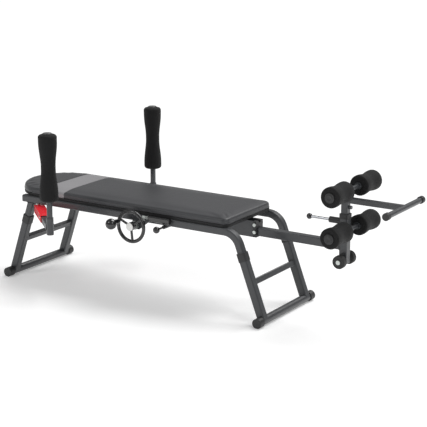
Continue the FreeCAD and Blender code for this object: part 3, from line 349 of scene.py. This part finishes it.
def latheMesh(profile, start, direction, segments=48, closed=False):
    # profile holds (distance along, radius); an open one starts and ends on the axis
    forward, first, second = sideways(direction)
    points = []
    faces = []
    rings = []
    for along, radius in profile:
        centre = Vector(start) + forward * along
        if radius < 1e-7:
            rings.append([len(points)])
            points.append(centre)
            continue
        rings.append(range(len(points), len(points) + segments))
        for index in range(segments):
            turn = math.tau * index / segments
            points.append(centre + (first * math.cos(turn) + second * math.sin(turn)) * radius)
    pairs = list(zip(rings, rings[1:])) + ([(rings[-1], rings[0])] if closed else [])
    for lower, upper in pairs:
        for index in range(segments):
            after = (index + 1) % segments
            if len(lower) == 1:
                faces.append((lower[0], upper[index], upper[after]))
            elif len(upper) == 1:
                faces.append((lower[index], lower[after], upper[0]))
            else:
                faces.append((lower[index], lower[after], upper[after], upper[index]))
    return points, faces


def arcPoints(centreAlong, centreRadius, size, fromAngle, toAngle, count):
    # part of a circle in a lathe profile, degrees
    found = []
    for index in range(count + 1):
        angle = math.radians(fromAngle + (toAngle - fromAngle) * index / count)
        found.append((centreAlong + size * math.cos(angle), centreRadius + size * math.sin(angle)))
    return found


def surfaceAt(node, place, direction):
    # the spot where a line from place first meets a CAD node
    bpy.context.view_layer.update()
    hit, spot, normal, face = frame["nodes"][node].ray_cast(Vector(place), Vector(direction))
    if not hit:
        raise ValueError("nothing of " + node + " lies that way")
    return spot


# ---- patterns that repeat ----
def startTree(name, inputs):
    tree = bpy.data.node_groups.new(name, "GeometryNodeTree")
    tree.interface.new_socket("Geometry", in_out="INPUT", socket_type="NodeSocketGeometry")
    for label, kind in inputs:
        tree.interface.new_socket(label, in_out="INPUT", socket_type=kind)
    tree.interface.new_socket("Geometry", in_out="OUTPUT", socket_type="NodeSocketGeometry")
    graph = Graph(tree)
    return graph, graph.add("NodeGroupInput", output="Geometry")


def endTree(graph, geometry, finish):
    real = graph.add("GeometryNodeRealizeInstances", {}, {"Geometry": geometry})
    coloured = graph.add("GeometryNodeSetMaterial", {}, {"Geometry": real, "Material": finish})
    outlet = graph.tree.nodes.new("NodeGroupOutput")
    graph.feed(outlet.inputs["Geometry"], coloured)
    return graph.tree


def makePathTree():
    graph, inlet = startTree("beadsAlongPath", (
        ("Spacing", "NodeSocketFloat"), ("Bead size", "NodeSocketVector"), ("Finish", "NodeSocketMaterial")))
    path = graph.add("GeometryNodeMeshToCurve", {}, {"Mesh": inlet})
    spots = graph.add("GeometryNodeCurveToPoints", {"mode": "LENGTH"},
                      {"Curve": path, "Length": inlet.out("Spacing")}, "Points")
    bead = graph.add("GeometryNodeMeshUVSphere", {}, {"Segments": 8, "Rings": 5, "Radius": 1.0}, "Mesh")
    beads = graph.add("GeometryNodeInstanceOnPoints", {}, {
        "Points": spots, "Instance": bead, "Rotation": spots.out("Rotation"), "Scale": inlet.out("Bead size")})
    return endTree(graph, beads, inlet.out("Finish"))


def makeSpotTree():
    graph, inlet = startTree("fastenersOnSpots", (
        ("Fastener", "NodeSocketObject"), ("Finish", "NodeSocketMaterial")))
    facing = graph.add("GeometryNodeInputNamedAttribute", {"data_type": "FLOAT_VECTOR"}, {"Name": "facing"},
                       "Attribute")
    turned = graph.add("FunctionNodeAlignRotationToVector", {"axis": "Z"}, {"Vector": facing})
    spots = graph.add("GeometryNodeMeshToPoints", {}, {"Mesh": inlet})
    fastener = graph.add("GeometryNodeObjectInfo", {}, {"Object": inlet.out("Fastener")}, "Geometry")
    placed = graph.add("GeometryNodeInstanceOnPoints", {}, {
        "Points": spots, "Instance": fastener, "Rotation": turned})
    return endTree(graph, placed, inlet.out("Finish"))


def bakePattern(piece, tree, values):
    modifier = piece.modifiers.new("pattern", "NODES")
    modifier.node_group = tree
    for item in tree.interface.items_tree:
        if item.item_type == "SOCKET" and item.in_out == "INPUT" and item.name in values:
            modifier[item.identifier] = values[item.name]
    bpy.context.view_layer.update()
    graph = bpy.context.evaluated_depsgraph_get()
    mesh = bpy.data.meshes.new_from_object(piece.evaluated_get(graph), depsgraph=graph)
    piece.modifiers.clear()
    piece.data = mesh


pathTree = makePathTree()
spotTree = makeSpotTree()


def beadsAlong(name, loops, spacing, beadSize, slotName, body):
    points = []
    edges = []
    for loop in loops:
        offset = len(points)
        points.extend(tuple(point) for point in loop)
        edges.extend((offset + index, offset + index + 1) for index in range(len(loop) - 1))
    mesh = bpy.data.meshes.new(name)
    mesh.from_pydata(points, edges, [])
    piece = bpy.data.objects.new(name, mesh)
    bpy.context.scene.collection.objects.link(piece)
    bakePattern(piece, pathTree, {"Spacing": spacing, "Bead size": beadSize, "Finish": finishes[slotName]})
    finishPiece(piece, slotName, body)


def fastenersAt(name, spots, fastenerMesh, slotName, body):
    # spots holds (place, facing); every fastener is the same small mesh drawn along +Z
    mesh = bpy.data.meshes.new(name)
    mesh.from_pydata([tuple(place) for place, facing in spots], [], [])
    attribute = mesh.attributes.new("facing", "FLOAT_VECTOR", "POINT")
    attribute.data.foreach_set("vector", [value for place, facing in spots for value in facing])
    pattern = bpy.data.meshes.new(name + "Pattern")
    pattern.from_pydata([tuple(point) for point in fastenerMesh[0]], [], fastenerMesh[1])
    source = bpy.data.objects.new(name + "Pattern", pattern)
    piece = bpy.data.objects.new(name, mesh)
    for item in (source, piece):
        bpy.context.scene.collection.objects.link(item)
    bakePattern(piece, spotTree, {"Fastener": source, "Finish": finishes[slotName]})
    bpy.data.objects.remove(source)
    finishPiece(piece, slotName, body, sharpAngle=30.0)


screwHead = {
    # shares of the head's height and radius, from the seat to the top
    "rim": ((0.0, 1.0), (0.6, 1.0), (0.9, 0.93), (1.0, 0.8)),
    "socketShare": 0.9, "depthShare": 9 / 14, "segments": 24,
}


def hexRadius(turn, acrossFlats):
    # distance from a hexagon's middle to its side at an angle
    third = math.pi / 3
    return acrossFlats / 2 / math.cos((turn + third / 2) % third - third / 2)


def socketScrew(radius, height):
    # round head drawn along +Z with a hexagonal recess
    socket = radius * screwHead["socketShare"]
    rings = [(height * along, radius * across) for along, across in screwHead["rim"]]
    rings += [(height, None), (height * (1 - screwHead["depthShare"]), None)]
    points = []
    faces = []
    segments = screwHead["segments"]
    for along, size in rings:
        for index in range(segments):
            turn = math.tau * index / segments
            reach = size if size is not None else hexRadius(turn, socket)
            points.append((reach * math.cos(turn), reach * math.sin(turn), along))
    for ring in range(len(rings) - 1):
        for index in range(segments):
            after = (index + 1) % segments
            low = ring * segments
            faces.append((low + index, low + after, low + segments + after, low + segments + index))
    faces.append(tuple(reversed(range(segments))))
    faces.append(tuple(range((len(rings) - 1) * segments, len(rings) * segments)))
    return points, faces


# ---- pad ----
pad = {
    "cornerRadius": 0.035, "cornerSteps": 8, "headSteps": 60, "outlineStep": 0.012,
    "underEdge": ((0.004, 0.0), (0.001, 0.004)), "edgeRound": 0.013, "edgeSteps": 5,
    "voxel": 0.007, "pressure": 4.0, "frames": 20, "mostSwell": 0.005,
    "seamDepth": 0.0016, "seamWidth": 0.0035, "seamReach": 4, "seamFloor": 0.006,
    "stitchPitch": 0.0055, "stitchSize": (0.00045, 0.00045, 0.0018), "stitchOffset": 0.006, "stitchLift": 0.0002,
    "stitchSteps": 80, "gather": 0.00025, "gatherCount": 84, "gatherHeight": 0.014,
}


def padOutline(low, high, inset):
    # rounded head end, square foot end with rounded corners
    half = (high.y - low.y) / 2 - inset
    headCentre = low.x + (high.y - low.y) / 2
    corner = pad["cornerRadius"] - inset
    foot = high.x - inset
    middleY = (high.y + low.y) / 2
    points = []

    def arc(centreX, centreY, size, start, end, count):
        for index in range(count):
            turn = math.radians(start + (end - start) * index / count)
            points.append((centreX + size * math.cos(turn), middleY + centreY + size * math.sin(turn)))

    def line(startX, startY, endX, endY, count):
        for index in range(count):
            share = index / count
            points.append((startX + (endX - startX) * share, middleY + startY + (endY - startY) * share))

    sideCount = round((foot - corner - headCentre) / pad["outlineStep"])
    endCount = round(2 * (half - corner) / pad["outlineStep"])
    line(headCentre, -half, foot - corner, -half, sideCount)
    arc(foot - corner, -half + corner, corner, -90, 0, pad["cornerSteps"])
    line(foot, -half + corner, foot, half - corner, endCount)
    arc(foot - corner, half - corner, corner, 0, 90, pad["cornerSteps"])
    line(foot - corner, half, headCentre, half, sideCount)
    arc(headCentre, 0, half, 90, 270, pad["headSteps"])
    return points


def padRings(low, high):
    # (inset from the outline, height) of each ring from the underside to the top
    found = [(inset, low.z + rise) for inset, rise in pad["underEdge"]]
    for index in range(pad["edgeSteps"] + 1):
        turn = math.pi / 2 * index / pad["edgeSteps"]
        found.append((pad["edgeRound"] * (1 - math.cos(turn)), high.z - pad["edgeRound"] * (1 - math.sin(turn))))
    return found


def swellPad(piece, low):
    remesh = piece.modifiers.new("even", "REMESH")
    remesh.mode = "VOXEL"
    remesh.voxel_size = pad["voxel"]
    flatten(piece)
    before = [vertex.co.copy() for vertex in piece.data.vertices]
    held = piece.vertex_groups.new(name="held")
    held.add([v.index for v in piece.data.vertices if v.co.z < low.z + pad["voxel"]], 1.0, "REPLACE")
    cloth = piece.modifiers.new("swell", "CLOTH")
    cloth.settings.use_pressure = True
    cloth.settings.uniform_pressure_force = pad["pressure"]
    cloth.settings.effector_weights.gravity = 0
    cloth.settings.vertex_group_mass = "held"
    for step in range(1, pad["frames"] + 1):
        bpy.context.scene.frame_set(step)
    flatten(piece)
    bpy.context.scene.frame_set(1)
    for vertex, old in zip(piece.data.vertices, before):
        move = vertex.co - old
        if move.length > pad["mostSwell"]:
            vertex.co = old + move.normalized() * pad["mostSwell"]
        vertex.co.z = max(vertex.co.z, low.z)
    piece.vertex_groups.clear()
    subdivision = piece.modifiers.new("smooth", "SUBSURF")
    subdivision.levels = 1
    subdivision.render_levels = 1
    flatten(piece)


def flatten(piece):
    # the modifiers' result becomes the piece's own mesh
    graph = bpy.context.evaluated_depsgraph_get()
    mesh = bpy.data.meshes.new_from_object(piece.evaluated_get(graph), depsgraph=graph)
    piece.modifiers.clear()
    piece.data = mesh


def makePad():
    low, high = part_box("pad_cushion")
    points = []
    faces = []
    for inset, height in padRings(low, high):
        points.extend((x, y, height) for x, y in padOutline(low, high, inset))
    count = len(padOutline(low, high, 0))
    for ring in range(len(padRings(low, high)) - 1):
        for index in range(count):
            after = (index + 1) % count
            start = ring * count
            faces.append((start + index, start + after, start + count + after, start + count + index))
    faces.append(tuple(reversed(range(count))))
    faces.append(tuple(range(len(points) - count, len(points))))
    cushion = makePiece("padCushion", points, faces, "pad_vinyl", "bench_frame")
    cushion.parent = None       # swelled at rest in the world, then set to ride again
    swellPad(cushion, low)
    headCentre = low.x + (high.y - low.y) / 2
    for vertex in cushion.data.vertices:
        normal = vertex.normal.copy()
        for seam in seamPlaces:
            near = (vertex.co.x - seam) / pad["seamWidth"]
            if abs(near) < pad["seamReach"] and vertex.co.z > low.z + pad["seamFloor"]:
                vertex.co -= normal * pad["seamDepth"] * math.exp(-near * near)
        if vertex.co.x < headCentre and vertex.co.z < low.z + pad["gatherHeight"]:
            turn = math.atan2(vertex.co.y, vertex.co.x - headCentre)
            share = 1 - (vertex.co.z - low.z) / pad["gatherHeight"]
            vertex.co += normal * pad["gather"] * share * math.sin(turn * pad["gatherCount"])
    cushion.data.materials.clear()
    finishPiece(cushion, "pad_vinyl", "bench_frame", sharpAngle=70.0)
    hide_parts("pad_cushion")
    makePadStitches(cushion, low, high)


def makePadStitches(cushion, low, high):
    # rows lie on the finished cushion, found by looking down on it
    loops = []
    for seam in seamPlaces:
        for side in (-1, 1):
            row = []
            x = seam + side * pad["stitchOffset"]
            headCentre = low.x + (high.y - low.y) / 2
            half = (high.y - low.y) / 2 - pad["edgeRound"]
            if x < headCentre:
                half = math.sqrt(max(0.0, half * half - (headCentre - x) ** 2))
            for index in range(pad["stitchSteps"] + 1):
                y = -half + 2 * half * index / pad["stitchSteps"]
                hit, place, normal, face = cushion.ray_cast(Vector((x, y, high.z + 0.1)), Vector((0, 0, -1)))
                if hit:
                    row.append(place + normal * pad["stitchLift"])
            loops.append(row)
    beadsAlong("padStitches", loops, pad["stitchPitch"], pad["stitchSize"], "pad_vinyl", "bench_frame")


# ---- foam posts and ankle rollers ----
foam = {
    # the sleeve swells from its waist over bulgeSpan of each half, starting at bulgeFrom
    "endRound": {"post": 0.013, "roller": 0.008}, "waist": {"post": 0.0345, "roller": 0.0418},
    "bore": {"post": 0.0136, "roller": 0.0104}, "boreSpare": 1.5, "fill": 0.95, "segments": 64, "rings": 40,
    "endSteps": 6, "dent": 0.0004, "dentScale": 28.0, "bulgeFrom": 0.05, "bulgeSpan": 0.8,
}


def foamProfile(length, outer, kind):
    size = foam["endRound"][kind]
    waist = foam["waist"][kind]
    bore = foam["bore"][kind]
    found = [(0.0, bore), (0.0, outer - size)]
    found += arcPoints(size, outer - size, size, 180, 90, foam["endSteps"])[1:]
    for index in range(1, foam["rings"]):
        share = index / foam["rings"]
        along = size + (length - 2 * size) * share
        swing = min(1.0, max(0.0, (abs(2 * share - 1) - foam["bulgeFrom"]) / foam["bulgeSpan"]))
        found.append((along, waist + (outer - waist) * swing * swing * (3 - 2 * swing)))
    found += arcPoints(length - size, outer - size, size, 90, 0, foam["endSteps"])
    found.append((length, bore))
    return found


def makeFoamSleeve(node, name, body, kind, axis):
    low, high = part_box(node)
    along = max(range(3), key=lambda index: abs(axis[index]))
    across = 0 if along != 0 else 1
    outer = (high[across] - low[across]) / 2
    length = high[along] - low[along]
    middle = (low + high) / 2
    start = middle - Vector(axis) * length / 2
    points, faces = latheMesh(foamProfile(length, outer, kind), start, axis, foam["segments"], closed=True)
    dentedFrom = foam["bore"][kind] * foam["boreSpare"]
    moved = []
    for point in points:
        centre = start + Vector(axis) * (point - start).dot(Vector(axis))
        out = point - centre
        push = noise.noise(point * foam["dentScale"]) * foam["dent"] if out.length > dentedFrom else 0.0
        moved.append(point + out.normalized() * (push - foam["dent"]))
    piece = makePiece(name, moved, faces, "foam", body)
    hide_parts(node)


makePad()
print("pad finished")
for side in ("near", "far"):
    makeFoamSleeve("post_foam_" + side, "postFoam" + side.title(), "post_" + side, "post", (0, 0, 1))
    for level in ("lower", "upper"):
        body = level + "_roller_" + side
        makeFoamSleeve(body, level + "Roller" + side.title(), body, "roller", (0, 1, 0))
print("foams finished")


# ---- balls on the pull rod and the column pin ----
ballRod = {
    # the neck's and the rod's starts are shares of the ball's radius
    "ballArc": (178, 40, 22), "neck": ((1.85, 0.42), (1.95, 0.40), (1.95, 0.0)), "rodFrom": 1.9,
    "rodSegments": 32, "tipBevel": 0.0008,
}
ballLooks = {
    "pull": {"node": "pull_rod", "ball": 0.016, "rod": 0.005, "axis": (0, 1, 0), "finish": "gloss_black"},
    "pin": {"node": "column_pin", "ball": 0.0135, "rod": 0.006, "axis": (1, 0, 0), "finish": "chrome"},
}


def makeBallRod(name, look):
    low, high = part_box(look["node"])
    axis = Vector(look["axis"])
    middle = (low + high) / 2
    along = 0 if axis.x else 1
    start = middle.copy()
    start[along] = low[along]
    length = high[along] - low[along]
    size, thick, bevel = look["ball"], look["rod"], ballRod["tipBevel"]
    ball = [(0.0, 0.0)] + arcPoints(size, 0.0, size, *ballRod["ballArc"])
    ball += [(size * distance, size * radius) for distance, radius in ballRod["neck"]]
    first = size * ballRod["rodFrom"]
    rod = [(first, 0.0), (first, thick), (length - bevel, thick), (length, thick - bevel), (length, 0.0)]
    ballPiece = makePiece(name + "Ball", *latheMesh(ball, start, axis), "gloss_black", look["node"])
    rodMesh = latheMesh(rod, start, axis, ballRod["rodSegments"])
    makePiece(name + "Shaft", *rodMesh, look["finish"], look["node"])
    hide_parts(look["node"])


for name, look in ballLooks.items():
    makeBallRod(name, look)
print("balls finished")


# ---- welds ----
weld = {"pitch": 0.0021, "bead": (0.0015, 0.0015, 0.0018), "inset": 0.0004}
tube = {"floorZ": 0.022, "rungHalf": 0.0125, "legHalf": 0.019, "railHalf": 0.017, "railY": 0.192}
# lean in degrees from upright; floorX is the middle of the floor bar
legs = {
    "head": {"lean": 19.2, "rungZ": 0.191, "floorX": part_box("head_leg_frame")[0].x + tube["legHalf"]},
    "foot": {"lean": -20.8, "rungZ": 0.185, "floorX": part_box("foot_leg_frame")[1].x - tube["legHalf"]},
}


def tubeLoop(centre, across, up, halfAcross, halfUp, topOpen=False):
    # round a square tube's end; topOpen leaves off the side that up points to
    corners = [(1, 1), (1, -1), (-1, -1), (-1, 1)] + ([] if topOpen else [(1, 1)])
    return [Vector(centre) + Vector(across) * (halfAcross - weld["inset"]) * first
            + Vector(up) * (halfUp - weld["inset"]) * second for first, second in corners]


def boxesAlongX(node, gap=0.03):
    # the separate tubes of a node that lie side by side along X
    values = sorted(vertex.co.x for vertex in frame["nodes"][node].data.vertices)
    starts = [values[0]] + [after for before, after in zip(values, values[1:]) if after - before > gap]
    ends = [before for before, after in zip(values, values[1:]) if after - before > gap] + [values[-1]]
    return list(zip(starts, ends))


def legX(leg, height):
    return leg["floorX"] + (height - tube["floorZ"]) * math.tan(math.radians(leg["lean"]))


def makeWelds():
    low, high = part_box("cross_tubes")
    middleZ, half = (low.z + high.z) / 2, (high.z - low.z) / 2
    frameLoops = []
    for start, end in boxesAlongX("cross_tubes"):
        for y in (low.y, high.y):
            place = ((start + end) / 2, y, middleZ)
            frameLoops.append(tubeLoop(place, (1, 0, 0), (0, 0, 1), half, half, topOpen=True))
    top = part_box("head_leg_posts")[1].z
    slant = tube["railHalf"] / math.cos(math.radians(legs["head"]["lean"]))
    for side in (-1, 1):
        place = (legX(legs["head"], top), side * tube["railY"], top)
        frameLoops.append(tubeLoop(place, (1, 0, 0), (0, 1, 0), slant, tube["railHalf"]))
    beadsAlong("frameWelds", frameLoops, weld["pitch"], weld["bead"], "charcoal_paint", "bench_frame")
    for name, leg in legs.items():
        lean = math.radians(leg["lean"])
        across, up = (math.cos(lean), 0, -math.sin(lean)), (math.sin(lean), 0, math.cos(lean))
        loops = []
        for side in (-1, 1):
            place = (legX(leg, leg["rungZ"]), side * (tube["railY"] - tube["legHalf"]), leg["rungZ"])
            loops.append(tubeLoop(place, across, up, tube["rungHalf"], tube["rungHalf"]))
        beadsAlong(name + "LegWelds", loops, weld["pitch"], weld["bead"], "charcoal_paint", name + "_leg_frame")
    low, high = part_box("boom_tube")
    boomEnd = tubeLoop((high.x, 0, (low.z + high.z) / 2), (0, 1, 0), (0, 0, 1), high.y, (high.z - low.z) / 2)
    beadsAlong("boomWelds", [boomEnd], weld["pitch"], weld["bead"], "charcoal_paint", "boom")


makeWelds()
print("welds finished")


# ---- hub disc, plug faces and screws ----
hubDisc = {
    # shares of the disc's height and radius, from its rim to its middle
    "radius": 0.0190, "height": 0.0028, "segments": 64, "lookFrom": 0.3,
    "face": ((0.5, 1.0), (0.75, 0.965), (0.85, 0.9), (0.7, 0.84), (0.75, 0.78), (1.0, 0.4), (1.0, 0.0)),
}
plugFace = {
    "acrossCorners": 0.034, "height": 0.0014, "bevel": 0.0012, "dish": 0.0006, "sunk": 0.0005,
    "sides": 6, "dishFrom": 0.72, "dishTo": 0.66,
}
leverScrew = {"along": 0.175, "height": 0.3625, "radius": 0.0055, "headHeight": 0.0026, "lookFrom": 0.1}
padBolt = {"y": 0.115, "radius": 0.0068, "headHeight": 0.0042}


def makeHubDisc():
    low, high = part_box("crank_shaft")
    outside = ((low.x + high.x) / 2, low.y - hubDisc["lookFrom"], (low.z + high.z) / 2)
    spot = surfaceAt("handwheel", outside, (0, 1, 0))
    size, height = hubDisc["radius"], hubDisc["height"]
    profile = [(0.0, 0.0), (0.0, size)] + [(height * along, size * across) for along, across in hubDisc["face"]]
    disc = latheMesh(profile, spot, (0, -1, 0), hubDisc["segments"])
    makePiece("hubDisc", *disc, "black_casting", "handwheel", "hubWhite")


def makePlugFaces():
    # the raised hexagon on each roller end
    size, height = plugFace["acrossCorners"] / 2, plugFace["height"]
    sunk, dished = -plugFace["sunk"], height - plugFace["dish"]
    profile = [(sunk, 0.0), (sunk, size), (height - plugFace["bevel"] / 2, size),
               (height, size - plugFace["bevel"]), (height, size * plugFace["dishFrom"]),
               (dished, size * plugFace["dishTo"]), (dished, 0.0)]
    for level, body in (("lower", "boom"), ("upper", "upper_column")):
        low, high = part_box(level + "_axle_plugs")
        for side, y, facing in (("Near", low.y, -1), ("Far", high.y, 1)):
            middle = ((low.x + high.x) / 2, y, (low.z + high.z) / 2)
            face = latheMesh(profile, middle, (0, facing, 0), plugFace["sides"])
            makePiece(level + "PlugFace" + side, *face, "black_plastic", body)


def makeScrews():
    # a lever's screws lie on the line from its arm's pivot to its post
    pivotLow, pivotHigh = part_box("arm_pivot_bolts")
    leverHead = socketScrew(leverScrew["radius"], leverScrew["headHeight"])
    for side, sign in (("near", -1), ("far", 1)):
        pivot = Vector(((pivotLow.x + pivotHigh.x) / 2, sign * tube["railY"], leverScrew["height"]))
        postLow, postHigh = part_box("post_tube_" + side)
        post = (postLow + postHigh) / 2
        forward = Vector((post.x - pivot.x, post.y - pivot.y, 0)).normalized()
        out = Vector((forward.y, -forward.x, 0))
        at = pivot + forward * leverScrew["along"]
        spots = []
        for face in (-1, 1):
            spot = surfaceAt("lock_lever_" + side, at + out * face * leverScrew["lookFrom"], out * -face)
            spots.append((spot, out * face))
        fastenersAt("leverScrews" + side.title(), spots, leverHead, "zinc_steel", "lock_lever_" + side)
    low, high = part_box("cross_tubes")
    spots = [(((start + end) / 2, side * padBolt["y"], low.z), (0, 0, -1))
             for start, end in boxesAlongX("cross_tubes") for side in (-1, 1)]
    boltHead = socketScrew(padBolt["radius"], padBolt["headHeight"])
    fastenersAt("padBolts", spots, boltHead, "zinc_steel", "bench_frame")


makeHubDisc()
makePlugFaces()
makeScrews()
print("screws and caps finished")


# ---- stage, light and camera ----
studio = {
    # lamps hold (place, size, watts)
    "floorReach": 30.0, "floorDrop": 0.0005, "floorColour": (0.93, 0.93, 0.93, 1), "floorGlow": 0.24,
    "skyColour": (1.0, 1.0, 1.0, 1), "skyStrength": 0.33,
    "sunPlace": (0.9, 2.6, 4.6), "sunStrength": 2.15, "sunSpread": 40.0,
    "lamps": (((-2.5, -4.5, 4.5), 2.0, 60.0), ((4.0, -1.5, 3.5), 2.0, 45.0)),
    "aim": (0.0, 0.0, 0.4),
}
# the camera's X is measured from the foot leg frame's outer side
shot = {
    "place": (2.8631, -5.0965, 1.9983), "azimuth": 32.67, "elevation": 14.63, "lens": 113.6, "sensor": 36.0,
    "farthest": 100.0,
}


def makeStage():
    reach, level = studio["floorReach"], -studio["floorDrop"]
    corners = [(-reach, -reach, level), (reach, -reach, level), (reach, reach, level), (-reach, reach, level)]
    mesh = bpy.data.meshes.new("studioFloor")
    mesh.from_pydata(corners, [], [(0, 1, 2, 3)])
    finish = Finish("paleFloor", {"Roughness": 0.6, "Specular IOR Level": 0.2})
    finish.shader.inputs["Base Color"].default_value = studio["floorColour"]
    finish.shader.inputs["Emission Color"].default_value = studio["floorColour"]
    finish.shader.inputs["Emission Strength"].default_value = studio["floorGlow"]
    mesh.materials.append(finish.material)
    floor = bpy.data.objects.new("studioFloor", mesh)
    bpy.context.scene.collection.objects.link(floor)
    world = bpy.data.worlds.new("studioSky")
    world.use_nodes = True
    sky = world.node_tree.nodes["Background"]
    sky.inputs["Color"].default_value = studio["skyColour"]
    sky.inputs["Strength"].default_value = studio["skyStrength"]
    bpy.context.scene.world = world
    for index, (place, size, power) in enumerate(studio["lamps"]):
        box = bpy.data.lights.new("softBox" + str(index + 1), "AREA")
        box.size = size
        box.energy = power
        hangLight(box, place)
    sun = bpy.data.lights.new("softSun", "SUN")
    sun.energy = studio["sunStrength"]
    sun.angle = math.radians(studio["sunSpread"])
    hangLight(sun, studio["sunPlace"])


def hangLight(light, place):
    lamp = bpy.data.objects.new(light.name, light)
    lamp.location = place
    lamp.rotation_euler = (Vector(studio["aim"]) - Vector(place)).to_track_quat("-Z", "Y").to_euler()
    bpy.context.scene.collection.objects.link(lamp)


def makeCamera():
    lens = bpy.data.cameras.new("camera")
    lens.lens = shot["lens"]
    lens.sensor_width = shot["sensor"]
    lens.clip_end = shot["farthest"]
    camera = bpy.data.objects.new("camera", lens)
    turn, rise = math.radians(shot["azimuth"]), math.radians(shot["elevation"])
    back = Vector((math.sin(turn) * math.cos(rise), -math.cos(turn) * math.cos(rise), math.sin(rise)))
    camera.location = Vector(shot["place"]) + Vector((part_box("foot_leg_frame")[1].x, 0, 0))
    camera.rotation_euler = (-back).to_track_quat("-Z", "Y").to_euler()
    bpy.context.scene.collection.objects.link(camera)
    bpy.context.scene.camera = camera


makeStage()
makeCamera()
bpy.context.scene.view_settings.view_transform = "Standard"
print("stage finished")
